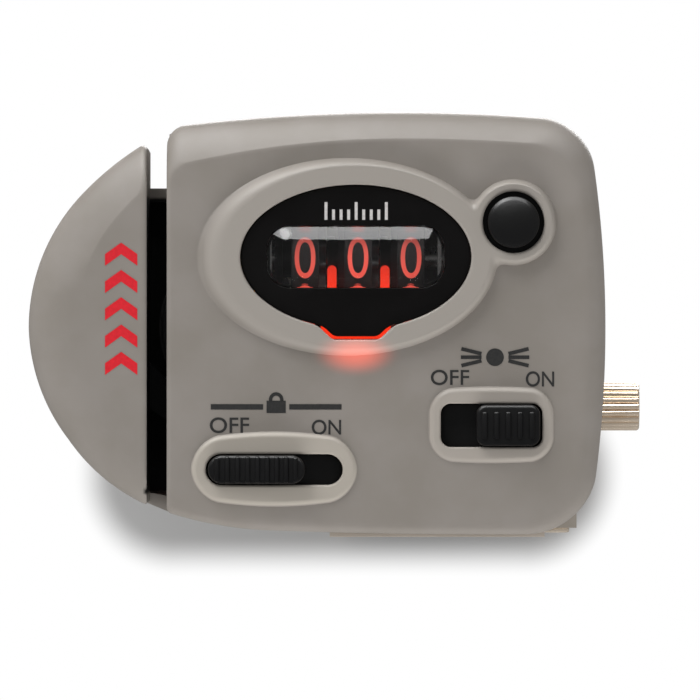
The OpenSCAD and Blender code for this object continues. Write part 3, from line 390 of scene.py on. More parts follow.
def pick(piece: Object) -> None:
    """Makes a piece the only selected and the active one.

    Args:
        piece: object to pick.
    """
    deselect()
    piece.select_set(True)
    bpy.context.view_layer.objects.active = piece


def named(name: str) -> Object:
    """Names the active object and its mesh.

    Args:
        name: the name.

    Returns:
        The active object.
    """
    piece = bpy.context.active_object
    piece.name = piece.data.name = name
    return piece


def edit(piece: Object) -> None:
    """Enters edit mode with all of a mesh selected.

    Args:
        piece: mesh to edit.
    """
    pick(piece)
    bpy.ops.object.mode_set(mode="EDIT")
    bpy.ops.mesh.select_mode(type="VERT")
    bpy.ops.mesh.select_all(action="SELECT")


def edit_edges(piece: Object, chosen: Callable[[bmesh.types.BMEdge], bool]) -> None:
    """Enters edit mode with the edges that a test picks.

    Args:
        piece: mesh to edit.
        chosen: test for an edge.
    """
    edit(piece)
    bpy.ops.mesh.select_mode(type="EDGE")
    bpy.ops.mesh.select_all(action="DESELECT")
    mesh = bmesh.from_edit_mesh(piece.data)
    for edge in mesh.edges:
        edge.select_set(chosen(edge))
    bmesh.update_edit_mesh(piece.data)


def weld(piece: Object, within: float = WELD) -> None:
    """Enters edit mode and merges vertices that lie closer than a distance in metres."""
    edit(piece)
    bpy.ops.mesh.remove_doubles(threshold=within)


def skin(name: str, loops: Sequence[Loop]) -> Object:
    """Wraps a grid round closed loops of equal count, one after the other.

    Args:
        name: name of the piece.
        loops: closed loops of points in millimetres.

    Returns:
        An open tube through the loops.
    """
    count, rows = len(loops[0]), len(loops) - 1
    deselect()
    bpy.ops.mesh.primitive_grid_add(x_subdivisions=count, y_subdivisions=rows, size=1)
    piece = named(name)
    for vert in piece.data.vertices:
        row, column = round((vert.co.y + 0.5) * rows), round((vert.co.x + 0.5) * count) % count
        vert.co = Vector(loops[row][column]) * MM
    weld(piece, SEAM)
    deselect()
    return piece


def join(name: str, pieces: Sequence[Object]) -> Object:
    """Joins pieces into one mesh.

    Args:
        name: name of the whole.
        pieces: meshes to join.

    Returns:
        The whole.
    """
    pick(pieces[0])
    for piece in pieces:
        piece.select_set(True)
    bpy.ops.object.join()
    return named(name)


def fill_edges(piece: Object, chosen: Callable[[bmesh.types.BMEdge], bool]) -> None:
    """Fills between the open edges that a test picks.

    Args:
        piece: mesh with open loops.
        chosen: test for an open edge.
    """
    edit_edges(piece, lambda edge: edge.is_boundary and chosen(edge))
    bpy.ops.mesh.fill(use_beauty=True)
    deselect()


def fill_levels(piece: Object, axis: int, *levels: float) -> None:
    """Fills between the open edges that lie in planes across X, Y or Z, at levels in millimetres."""
    for level in levels:
        fill_edges(piece, lambda edge: all(abs(v.co[axis] - level * MM) < LEVEL_SLACK for v in edge.verts))


def face_out(piece: Object, probe: Point3 = FRONT) -> None:
    """Turns all faces the same way, so that the furthest one looks outwards.

    Args:
        piece: mesh to turn.
        probe: direction in which the furthest face has to look.
    """
    edit(piece)
    bpy.ops.mesh.normals_make_consistent(inside=False)
    deselect()
    ahead = Vector(probe)
    furthest = max(piece.data.polygons, key=lambda f: f.center.dot(ahead) + abs(f.normal.dot(ahead)) * 1e-5)
    if furthest.normal.dot(ahead) < 0:
        edit(piece)
        bpy.ops.mesh.flip_normals()
        deselect()


def closed(name: str, loops: Sequence[Loop], axis: int = 1, probe: Point3 = FRONT) -> Object:
    """Skin over loops, with both ends filled.

    Args:
        name: name of the piece.
        loops: closed loops of points in millimetres, the first and last in a plane.
        axis: 0, 1 or 2 for ends across X, Y or Z.
        probe: direction in which the furthest face has to look.

    Returns:
        The closed solid.
    """
    piece = skin(name, loops)
    fill_levels(piece, axis, loops[0][0][axis], loops[-1][0][axis])
    face_out(piece, probe)
    return piece


def turned(name: str, at: Point, profile: Sequence[Point], count: int, probe: Point3 = FRONT) -> Object:
    """Solid turned round an axis along Y.

    Args:
        name: name of the piece.
        at: x and z of the axis.
        profile: radius and y of each loop.
        count: points in a loop.
        probe: direction in which the furthest face has to look.

    Returns:
        The closed solid.
    """
    turns = [FULL_TURN * i / count for i in range(count)]
    loops = [[(at[0] + r * math.cos(t), y, at[1] + r * math.sin(t)) for t in turns] for r, y in profile]
    return closed(name, loops, probe=probe)


def modify(piece: Object, kind: str, **settings: object) -> None:
    """Adds a modifier, sets it and applies it.

    Args:
        piece: mesh to change.
        kind: type of the modifier.
        settings: attributes of the modifier.
    """
    pick(piece)
    modifier = piece.modifiers.new(kind.lower(), kind)
    for key, value in settings.items():
        setattr(modifier, key, value)
    bpy.ops.object.modifier_apply(modifier=modifier.name)


def smooth(piece: Object, degrees: float) -> Object:
    """Shades a piece smooth.

    Args:
        piece: mesh to shade.
        degrees: angle from which an edge stays sharp.

    Returns:
        The same piece.
    """
    pick(piece)
    bpy.ops.object.shade_smooth_by_angle(angle=math.radians(degrees))
    return piece


def even_shading(piece: Object, degrees: float) -> None:
    """Shades a piece smooth, with the large faces leading."""
    modify(smooth(piece, degrees), "WEIGHTED_NORMAL", keep_sharp=True, weight=80)


def add_wall(piece: Object, wall: float) -> None:
    """Gives a skin a wall on its inner side."""
    modify(piece, "SOLIDIFY", thickness=wall * MM, offset=-1, use_even_offset=True)


def block(name: str, low: Point3, high: Point3, bevel: float = 0.0) -> Object:
    """A box between two corners, with its edges rounded.

    Args:
        name: name of the piece.
        low: lowest corner in millimetres.
        high: highest corner in millimetres.
        bevel: radius of the edges in millimetres.

    Returns:
        The box.
    """
    deselect()
    bpy.ops.mesh.primitive_cube_add(size=1)
    piece = named(name)
    for vert in piece.data.vertices:
        vert.co = Vector([(h if c > 0 else l) * MM for c, l, h in zip(vert.co, low, high)])
    if bevel:
        edit(piece)
        bpy.ops.mesh.bevel(offset=bevel * MM, segments=3, affect="EDGES")
        deselect()
    return piece


def cut(piece: Object, low: Point3, high: Point3) -> None:
    """Cuts a box between two corners out of a piece.

    Args:
        piece: mesh to cut.
        low: lowest corner in millimetres.
        high: highest corner in millimetres.
    """
    tool = block("cutter", low, high)
    modify(piece, "BOOLEAN", operation="DIFFERENCE", object=tool, solver="EXACT")
    bpy.data.objects.remove(tool)


def place(piece: Object, finish: Finish, body: Body, *replaced: str) -> None:
    """Dresses a finished piece and sets it on its body.

    Args:
        piece: finished mesh at the origin.
        finish: its surface.
        body: the body that it moves with.
        replaced: nodes of the frame that it stands for.
    """
    finish.dress(piece)
    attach(piece, body.value)
    if replaced:
        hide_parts(*replaced)
    LOG.info("%s: %d faces", piece.name, len(piece.data.polygons))


def refined(node: str, name: str, width: float, keep: Callable[[Vector], bool] = lambda at: True,
            segments: int = 3) -> Object:
    """Copies a node's solid and rounds its sharp edges.

    Args:
        node: node of the frame.
        name: name of the new piece.
        width: radius of the edges in millimetres.
        keep: test on an edge's middle, in millimetres, for edges that are rounded.
        segments: steps in the rounding.

    Returns:
        The rounded copy.
    """
    def sharp(edge: bmesh.types.BMEdge) -> bool:
        """Tells whether an edge is rounded."""
        steep = edge.is_manifold and edge.calc_face_angle(0.0) > math.radians(50)
        return steep and keep((edge.verts[0].co + edge.verts[1].co) / 2 / MM)

    pick(frame["nodes"][node])
    bpy.ops.object.duplicate()
    piece = named(name)
    piece.parent = None
    for key in [k for k in piece.keys() if k.startswith("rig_")]:
        del piece[key]
    weld(piece)
    bpy.ops.mesh.dissolve_limited(angle_limit=math.radians(0.4))
    edit_edges(piece, sharp)
    bpy.ops.mesh.bevel(offset=width * MM, segments=segments, affect="EDGES", clamp_overlap=True)
    deselect()
    return smooth(piece, 35)


def refit(node: str, name: str, width: float, finish: Finish, body: Body) -> None:
    """Puts a rounded copy of a node in its place."""
    place(refined(node, name, width), finish, body, node)


def disc(centre: Point, radius: float) -> Field:
    """Distance to a circle in the plane of the face."""
    return lambda px, pz: np.hypot(px - centre[0], pz - centre[1]) - radius


@dataclass(frozen=True)
class Oval:
    """An ellipse in the plane of the face: its middle, and half its width and height."""

    centre: Point
    half: Point

    def __call__(self, px: np.ndarray, pz: np.ndarray) -> np.ndarray:
        """Distance to the ellipse, true near its outline.

        Args:
            px: x of the points.
            pz: z of the points.

        Returns:
            Distance, negative inside.
        """
        across, up = (px - self.centre[0]) / self.half[0], (pz - self.centre[1]) / self.half[1]
        ratio, slope = np.hypot(across, up), np.hypot(across / self.half[0], up / self.half[1])
        return np.where(slope > TINY, ratio * (ratio - 1) / np.maximum(slope, TINY), -min(self.half))


@dataclass(frozen=True)
class Panel:
    """A rounded rectangle in the plane of the face, whose top and bottom sag towards its ends."""

    centre: Point
    size: Point
    radius: float
    sag: float = 0.0

    def __call__(self, px: np.ndarray, pz: np.ndarray) -> np.ndarray:
        """Distance to the panel.

        Args:
            px: x of the points.
            pz: z of the points.

        Returns:
            Distance, negative inside.
        """
        off, half = np.abs(px - self.centre[0]), self.size[0] / 2
        across = off - half + self.radius
        up = np.abs(pz - self.centre[1]) - self.size[1] / 2 + self.radius
        up = up + self.sag * np.minimum(off / half, 1.2) ** 2
        outside = np.hypot(np.maximum(across, 0), np.maximum(up, 0))
        return outside + np.minimum(np.maximum(across, up), 0) - self.radius


def meet(a: np.ndarray, b: np.ndarray, radius: np.ndarray | float) -> np.ndarray:
    """Distance to what two shapes share, with the corner rounded."""
    return np.minimum(-radius, np.maximum(a, b)) + np.hypot(np.maximum(a + radius, 0), np.maximum(b + radius, 0))


def merge(first: Field, second: Field, radius: float) -> Field:
    """Two shapes together, with the notch between them rounded."""
    return lambda px, pz: -meet(-first(px, pz), -second(px, pz), radius)


def grown(field: Field, by: float) -> Field:
    """The same shape grown outwards."""
    return lambda px, pz: field(px, pz) - by


def between(first: Field, last: Field, share: float) -> Field:
    """A shape on the way from one to the other."""
    return lambda px, pz: first(px, pz) * (1 - share) + last(px, pz) * share


def quarter(depth: float, radius: float = 1.0) -> float:
    """Inset of a quarter circle at a depth below its tangent plane."""
    return radius * (1 - np.sqrt(1 - (1 - np.minimum(depth / radius, 1)) ** 2))


def rounding(steps: int) -> list[Point]:
    """Steps of a quarter circle: one minus the sine and one minus the cosine of each."""
    turns = [math.pi / 2 * i / steps for i in range(steps + 1)]
    return [(1 - math.sin(t), 1 - math.cos(t)) for t in turns]


def reach(field: Field, centre: Point, angles: np.ndarray) -> np.ndarray:
    """Finds where rays from a point leave a shape.

    Args:
        field: shape.
        centre: start of the rays, inside the shape.
        angles: directions of the rays.

    Returns:
        Distance along each ray.
    """
    longest, marks, halvings = 72.0, 361, 26
    steps = np.linspace(0, longest, marks)
    across, up = np.cos(angles), np.sin(angles)
    inside = field(centre[0] + np.outer(steps, across), centre[1] + np.outer(steps, up)) < 0
    last = marks - 1 - np.argmax(inside[::-1], axis=0)
    low, high = steps[last], steps[np.minimum(last + 1, marks - 1)]
    for _ in range(halvings):
        mid = (low + high) / 2
        within = field(centre[0] + mid * across, centre[1] + mid * up) < 0
        low, high = np.where(within, mid, low), np.where(within, high, mid)
    return (low + high) / 2


@dataclass
class Fan:
    """Rays from one point that turn shapes round it into loops with matching points."""

    centre: Point
    angles: np.ndarray

    @classmethod
    def of(cls, field: Field, centre: Point, count: int) -> "Fan":
        """Fan that splits a shape's outline into even steps.

        Args:
            field: shape.
            centre: start of the rays.
            count: number of rays.

        Returns:
            The fan.
        """
        fine = np.linspace(-math.pi, math.pi, count * 6 + 1)
        length = reach(field, centre, fine)
        steps = np.hypot(np.diff(length * np.cos(fine)), np.diff(length * np.sin(fine)))
        along = np.concatenate([[0], np.cumsum(steps)])
        return cls(centre, np.interp(np.arange(count) / count * along[-1], along, fine))

    def loop(self, field: Field, y: float) -> Loop:
        """Outline of a shape as a loop at one depth."""
        rays = zip(reach(field, self.centre, self.angles), self.angles)
        return [(self.centre[0] + r * math.cos(a), y, self.centre[1] + r * math.sin(a)) for r, a in rays]

    def rim(self, field: Field, level: float, radius: float, depth: float) -> list[Loop]:
        """Loops of an opening: a support loop, a rounded edge and its wall.

        Args:
            field: shape of the opening.
            level: y of the surface round it.
            radius: radius of the edge.
            depth: y at the end of the wall.

        Returns:
            Loops from the surface inwards.
        """
        edge = [self.loop(grown(field, radius * out), level + radius * drop) for out, drop in rounding(5)]
        return [self.loop(grown(field, radius + 0.08), level), *edge, self.loop(field, depth)]

    def flank(self, foot: Field, crest: Field, low: float, high: float, steps: int) -> list[Loop]:
        """Loops of a soft step from one level to another, with a support loop at each end.

        Args:
            foot: outline at the start.
            crest: outline at the end.
            low: y at the start.
            high: y at the end.
            steps: loops on the way.

        Returns:
            Loops from the foot to the crest.
        """
        loops = [self.loop(grown(foot, 0.1), low)]
        for i in range(steps + 1):
            share = i / steps
            rise = (1 - (1 - share) ** 2) * share / (share + 0.06) * 1.06
            loops.append(self.loop(between(foot, crest, share), low + (high - low) * rise))
        return loops + [self.loop(grown(crest, -0.1), high)]


@dataclass
class Layout:
    """Places in the face that several pieces share, in millimetres."""

    face: float = -39.5
    part: float = -15.0
    display: Point = (-9.65, 19.65)
    plate_half: Point = (15.0, 9.35)
    tab_foot: float = 2.85
    tab_drop: float = 10.35
    tab_top: float = 3.0
    tab_lean: float = 1.05
    tab_scale: float = 0.69
    tab_corner: float = 0.35
    tab_blend: float = 0.4
    glow_gap: float = 0.42
    ring_half: Point = (17.4, 11.75)
    ring_foot: Point = (19.5, 12.85)
    ring_shift: float = -1.1
    ring_level: float = -41.0
    button: Point = (10.85, 24.15)
    button_hole: float = 4.0
    window: Point = (23.1, 8.0)
    lock: Point = (-20.25, -8.0)
    lock_slot: Point = (17.8, 4.0)
    switch: Point = (8.0, -2.25)
    switch_slot: Point = (13.2, 5.65)
    switch_corner: float = 1.3
    pad_level: float = -40.0
    nose: Point = (-27.1, 10.45)
    nose_r: float = 25.2
    slot_left: float = -36.85

    def tab(self, gap: float, px: np.ndarray, pz: np.ndarray) -> np.ndarray:
        """Distance to the tab at the foot of the display plate.

        Args:
            gap: growth of the tab.
            px: x of the points.
            pz: z of the points.

        Returns:
            Distance, negative inside.
        """
        across, up = np.abs(px - self.display[0]), pz - self.display[1]
        side = (across - self.tab_foot - self.tab_lean * (up + self.tab_drop)) * self.tab_scale - gap
        return np.maximum(meet(side, -up - self.tab_drop - gap, self.tab_corner), up + self.tab_top)

    def plate(self, fit: float = 0.0, gap: float = 0.0) -> Field:
        """Outline of the display plate, its oval grown by a fit and its tab by a gap."""
        half = (self.plate_half[0] + fit, self.plate_half[1] + fit)
        return merge(Oval(self.display, half), partial(self.tab, gap), self.tab_blend)

    def stadium(self) -> Field:
        """Slot of the line lock."""
        return Panel(self.lock, self.lock_slot, self.lock_slot[1] / 2)

    def opening(self) -> Field:
        """Opening of the light switch."""
        return Panel(self.switch, self.switch_slot, self.switch_corner)


@dataclass
class Cover:
    """A moulded cover: a thin skin round sections that change with the depth behind the face."""

    plan: Layout
    wall: float = 1.1
    deepest: float = 9.0
    crease: float = 38.0

    def section(self, depth: float, px: np.ndarray, pz: np.ndarray) -> np.ndarray:
        """Distance to the outline at a depth, which each cover has for itself."""
        raise NotImplementedError

    def outline(self, depth: float) -> Field:
        """Outline of the cover at a depth behind its face."""
        return partial(self.section, depth)

    def sides(self, name: str, core: Point, count: int, depths: Sequence[float], inset: float) -> Object:
        """Side walls from the face to the parting line.

        Args:
            name: name of the piece.
            core: point that the rays start from.
            count: points in a loop.
            depths: depths of the sections.
            inset: distance of the support loop in the face from its edge.

        Returns:
            The open walls.
        """
        face = self.plan.face
        fan = Fan.of(self.outline(self.deepest), core, count)
        loops = [fan.loop(grown(self.outline(0), -inset), face)]
        loops += [fan.loop(self.outline(d), face + d) for d in depths]
        return skin(name, loops + [fan.loop(self.outline(self.deepest), self.plan.part)])

    def close(self, cover: Object, levels: Sequence[float], openings: Sequence[Box], finish: Finish,
              node: str) -> None:
        """Closes the front, gives the skin its wall, cuts its openings and sets it in the frame.

        Args:
            cover: open skin.
            levels: y of the flat faces.
            openings: boxes that are cut out.
            finish: its surface.
            node: node that it stands for.
        """
        fill_levels(cover, 1, *levels)
        face_out(cover)
        add_wall(cover, self.wall)
        for low, high in openings:
            cut(cover, low, high)
        even_shading(cover, self.crease)
        place(cover, finish, Body.CASE, node)


@dataclass(frozen=True)
class Pad:
    """Sizes of a raised pad and of the rounded edge of its opening."""

    size: Point
    radius: float
    sag: float
    edge: float


@dataclass
class FrontCover(Cover):
    """Main case: bowed sides, sloped shoulder, display ring, button collar and two raised pads."""

    right: float = 22.88
    left: float = -34.25
    top: float = 38.5
    low: float = -16.45
    low_middle: float = 9.0
    low_bow: float = 900.0
    heel: Point = (-20.5, -15.97)
    heel_r: float = 50.0
    middle: float = -3.75
    side_middle: float = 10.45
    top_bow: float = 240.0
    side_bow: float = 150.0
    side_edge: float = 3.0
    low_edge: float = 1.4
    slot_edge: float = 0.6
    shoulder: float = 3.5
    shoulder_left: float = 1.8
    shoulder_deep: float = 4.2
    top_corner: float = 5.6
    low_corner: float = 7.6
    slot_corners: Point = (2.4, 0.5)
    core: Point = (-6.0, 11.0)
    depths: tuple[float, ...] = (0, 0.06, 0.16, 0.3, 0.5, 0.8, 1.2, 1.7, 2.3, 2.9, 3.5, 4.2, 5.2)
    inset: float = 0.45
    collar_foot: float = 5.6
    collar_top: float = 4.9
    foot_blend: float = 1.2
    crest_blend: float = 0.9
    ring_core: Point = (16.3, 3.6)
    seat_fit: float = 0.03
    seat_edge: float = 0.3
    hole_edge: float = 0.4
    seat_deep: float = 1.1
    lock_pad: Pad = Pad((20.3, 8.3), 3.2, 1.0, 0.35)
    switch_pad: Pad = Pad((14.9, 8.5), 2.5, 0.35, 0.3)
    pad_lift: float = 0.05
    pad_flank: float = 0.75
    pad_deep: float = 1.6
    wheel_window: Box = ((-35.6, -19.1, 1.55), (-32.2, -14.5, 19.35))
    door_pocket: Box = ((-13.15, -36.6, -18.0), (15.05, -11.9, -15.1))

    def section(self, depth: float, px: np.ndarray, pz: np.ndarray) -> np.ndarray:
        """Distance to the outline of the case at a depth behind its face.

        Args:
            depth: depth in millimetres.
            px: x of the points.
            pz: z of the points.

        Returns:
            Distance, negative inside.
        """
        fall = max(0.0, 1 - depth / self.shoulder_deep) ** 2
        share = self.heel_r / self.low_bow
        heel_x = self.heel[0] + (self.low_middle - self.heel[0]) * share
        heel_z = self.heel[1] + (self.low + self.low_bow - self.heel[1]) * share
        left_share = np.clip((self.middle - px) / (self.middle - self.left), 0, 1.2) ** 2
        top = np.hypot(px - self.middle, pz - self.top + self.top_bow) - self.top_bow
        top = top + (self.shoulder + self.shoulder_left * left_share) * fall
        flat = np.hypot(px - self.low_middle, pz - self.low - self.low_bow) - self.low_bow
        heel = np.hypot(px - heel_x, pz - heel_z) - self.heel_r
        low = np.where(px < self.heel[0], heel, flat) + quarter(depth, self.low_edge)
        side = np.hypot(px - self.right + self.side_bow, pz - self.side_middle) - self.side_bow
        side = side + quarter(depth, self.side_edge)
        slot = self.left - px + quarter(depth, self.slot_edge)
        body = meet(meet(top, side, self.top_corner), low, self.low_corner)
        return meet(body, slot, np.where(pz > self.side_middle, *self.slot_corners))

    def ring(self) -> list[Object]:
        """Raised display ring with its collar, plate seat and button hole.

        Returns:
            The open skins of all three.
        """
        plan = self.plan
        (x, z), deep = plan.display, plan.face + self.seat_deep
        foot = merge(Oval((x + plan.ring_shift, z), plan.ring_foot), disc(plan.button, self.collar_foot),
                     self.foot_blend)
        crest = merge(Oval(plan.display, plan.ring_half), disc(plan.button, self.collar_top), self.crest_blend)
        fan = Fan.of(crest, (x + self.ring_core[0], z + self.ring_core[1]), 420)
        made = [skin("ring_rise", fan.flank(foot, crest, plan.face, plan.ring_level, 11))]
        for name, field, at, count, edge in (
                ("plate_seat", plan.plate(self.seat_fit, plan.glow_gap), plan.display, 300, self.seat_edge),
                ("button_hole", disc(plan.button, plan.button_hole), plan.button, 120, self.hole_edge)):
            made.append(skin(name, Fan.of(field, at, count).rim(field, plan.ring_level, edge, deep)))
        return made

    def pads(self) -> list[Object]:
        """Raised pads round the line lock and the light switch, with their openings.

        Returns:
            The open skins of pads and openings.
        """
        plan, made = self.plan, []
        for name, at, slot, pad in (("lock", plan.lock, plan.stadium(), self.lock_pad),
                                    ("switch", plan.switch, plan.opening(), self.switch_pad)):
            crest = Panel((at[0], at[1] + self.pad_lift), pad.size, pad.radius, pad.sag)
            rise = Fan.of(crest, at, 200).flank(grown(crest, self.pad_flank), crest, plan.face, plan.pad_level, 7)
            rim = Fan.of(slot, at, 160).rim(slot, plan.pad_level, pad.edge, plan.face + self.pad_deep)
            made += [skin(name + "_pad", rise), skin(name + "_slot", rim)]
        return made

    def build(self) -> None:
        """Models the cover and sets it in the frame."""
        plan, sides = self.plan, self.sides("case_walls", self.core, 520, self.depths, self.inset)
        cover = join("front_cover_skin", [sides, *self.ring(), *self.pads()])
        self.close(cover, (plan.face, plan.ring_level, plan.pad_level), (self.wheel_window, self.door_pocket),
                   CASE_LIT, "front_cover")


@dataclass
class NoseCover(Cover):
    """Round nose beside the line slot, with a shoulder that fades round its left side."""

    deep: float = 4.6
    inset_top: float = 5.0
    inset_left: float = 6.2
    inset_low: float = 4.2
    crease_from: float = 12.0
    crease_over: float = 18.0
    tip_from: float = 43.0
    tip_over: float = 24.0
    tip_lift: float = 0.8
    low_draw: float = 0.45
    slot_edge: float = 0.55
    slot_corners: Point = (0.9, 0.4)
    core: Point = (-42.0, 10.45)
    depths: tuple[float, ...] = (0, 0.06, 0.16, 0.3, 0.55, 0.9, 1.3, 1.8, 2.4, 3.0, 3.7, 4.6, 5.6)
    inset: float = 0.4
    roller_window: Box = ((-38.9, -19.7, 5.65), (-35.9, -14.5, 15.25))

    def section(self, depth: float, px: np.ndarray, pz: np.ndarray) -> np.ndarray:
        """Distance to the outline of the nose at a depth behind its face.

        Args:
            depth: depth in millimetres.
            px: x of the points.
            pz: z of the points.

        Returns:
            Distance, negative inside.
        """
        share, (x, z) = min(depth / self.deep, 1.0), self.plan.nose
        turn = np.degrees(np.arctan2(pz - z, x - px))
        inset = np.interp(turn, [-70, -10, 20, 62],
                          [self.inset_low, self.inset_left, self.inset_left, self.inset_top])
        crease = np.clip((turn - self.crease_from) / self.crease_over, 0, 1)
        drop = crease * (1 - share) ** 2 + (1 - crease) * quarter(share)
        tip = np.clip((turn - self.tip_from) / self.tip_over, 0, 1) ** 2 * self.tip_lift
        tip = tip - np.interp(turn, [-75, -36, 0], [0, self.low_draw, 0])
        round_side = np.hypot(px - x, pz - z) - self.plan.nose_r - tip + inset * drop
        slot = px - self.plan.slot_left + quarter(depth, self.slot_edge)
        return meet(round_side, slot, np.where(turn > 0, *self.slot_corners))

    def build(self) -> None:
        """Models the cover and sets it in the frame."""
        cover = self.sides("nose_cover_skin", self.core, 360, self.depths, self.inset)
        self.close(cover, (self.plan.face,), (self.roller_window,), CASE_GREY, "nose_cover")


@dataclass
class BackCover:
    """Shell behind the case and nose, and the battery door under it."""

    edge: float = 0.35
    door_edge: float = 0.25

    def build(self) -> None:
        """Models both and sets them in the frame."""
        refit("back_cover", "back_cover_shell", self.edge, CASE_GREY, Body.CASE)
        # The door's lighter grey is painted light.
        refit("battery_door", "battery_door_panel", self.door_edge, DOOR_PAINTED_LIGHT, Body.DOOR)


def lettering(name: str, text: str, height: float, width: float, thick: float, bold: float) -> Object:
    """Plain figures or words as a thin solid in the plane of the face, centred on the origin.

    Args:
        name: name of the piece.
        text: what it says.
        height: height of the capitals in millimetres.
        width: whole width in millimetres.
        thick: thickness of the print.
        bold: how far the strokes are thickened, in millimetres.

    Returns:
        The solid, with its front towards -Y.
    """
    deselect()
    bpy.ops.object.text_add()
    letters = bpy.context.active_object.data
    letters.body, letters.resolution_u, letters.extrude = text, 6, 0.01
    bpy.ops.object.convert(target="MESH")
    piece = named(name)
    spots = np.array([v.co for v in piece.data.vertices])
    low, high = spots.min(axis=0), spots.max(axis=0)
    wide, tall = width / (high[0] - low[0]), height / (high[1] - low[1])
    for vert in piece.data.vertices:
        side = thick if vert.co.z > 0 else 0.0
        vert.co = Vector(((vert.co.x - (low[0] + high[0]) / 2) * wide, -side,
                          (vert.co.y - (low[1] + high[1]) / 2) * tall)) * MM
    weld(piece)
    deselect()
    thicken(piece, bold)
    return piece


def thicken(piece: Object, by: float) -> None:
    """Moves the outline of a flat print outwards in its own plane.

    Args:
        piece: print in the plane of the face.
        by: distance in millimetres.
    """
    mesh = bmesh.new()
    mesh.from_mesh(piece.data)
    mesh.normal_update()
    pushes = {}
    for vert in mesh.verts:
        push = sum((f.normal for f in vert.link_faces if abs(f.normal.y) < 0.5), Vector((0, 0, 0)))
        pushes[vert] = push.normalized() if push.length > TINY else Vector((0, 0, 0))
    for vert, push in pushes.items():
        vert.co += push * by * MM
    mesh.to_mesh(piece.data)
    mesh.free()


def flat_shape(name: str, outline: Sequence[Point], level: float) -> Object:
    """A thin printed shape in the plane of the face, on a surface at a level."""
    return closed(name, [[(x, y, z) for x, z in outline] for y in (level, level - PRINT_T)])


def bar(name: str, low: Point, high: Point, level: float) -> Object:
    """A printed rectangle between two corners."""
    return flat_shape(name, [low, (high[0], low[1]), high, (low[0], high[1])], level)


@dataclass
class DisplayPlate:
    """Black plate with its window, the clear lens and a tick scale in white."""

    plan: Layout
    level: float = -40.4
    back: float = -39.25
    edge: float = 0.35
    support: float = 0.08
    window_r: float = 3.0
    window_edge: float = 0.15
    lens_fit: float = 0.05
    lens_sink: float = 0.1
    bulge: float = 1.5
    swell: float = 2.2
    glass: float = 0.6
    ticks: int = 9
    tick_gap: float = 0.98
    tick_half: float = 0.19
    tick_foot: float = 24.45
    tick_tall: Point = (2.3, 1.35)

    def plate(self) -> None:
        """Models the plate with a rounded rim and the window's opening."""
        field, edge = self.plan.plate(), self.edge
        fan = Fan.of(field, self.plan.display, 320)
        loops = [fan.loop(grown(field, -edge - self.support), self.level)]
        loops += [fan.loop(grown(field, -edge * back), self.level + edge * drop) for back, drop in rounding(6)]
        rim = skin("plate_rim", loops + [fan.loop(field, self.back)])
        window = Panel(self.plan.display, self.plan.window, self.window_r)
        wall = Fan.of(window, self.plan.display, 200).rim(window, self.level, self.window_edge, self.back)
        piece = join("display_plate", [rim, skin("plate_window", wall)])
        fill_levels(piece, 1, self.level, self.back)
        face_out(piece)
        even_shading(piece, 40)
        place(piece, PLATE_BLACK, Body.CASE, "display_mask")

    def lens(self) -> None:
        """Models the clear pillow over the window."""
        wide, high = self.plan.window
        fan, loops = None, []
        for share in np.linspace(0, 0.985, 19):
            inset = self.lens_fit + (high / 2 - self.lens_fit) * share
            field = Panel(self.plan.display, (wide - 2 * inset, high - 2 * inset),
                          max(self.window_r * (1 - inset / (high / 2)), 0.02))
            fan = fan or Fan.of(field, self.plan.display, 220)
            rise = (self.bulge + self.lens_sink) * (1 - (1 - share) ** self.swell)
            loops.append(fan.loop(field, self.level + self.lens_sink - rise))
        piece = skin("window_glass", loops)
        fill_levels(piece, 1, loops[-1][0][1])
        face_out(piece)
        add_wall(piece, self.glass)
        place(smooth(piece, 60), CLEAR, Body.CASE, "window_lens")

    def scale_print(self) -> None:
        """Prints a plain row of ticks above the window."""
        made = []
        for i in range(self.ticks):
            x = self.plan.display[0] + 0.05 + (i - self.ticks // 2) * self.tick_gap
            top = self.tick_foot + self.tick_tall[1 if i % 4 else 0]
            low, high = (x - self.tick_half, self.tick_foot), (x + self.tick_half, top)
            made.append(bar(f"tick_{i}", low, high, self.level))
        place(join("tick_scale_print", made), WHITE_INK, Body.CASE)

    def build(self) -> None:
        """Models the plate, the lens and the print."""
        self.plate()
        self.lens()
        self.scale_print()


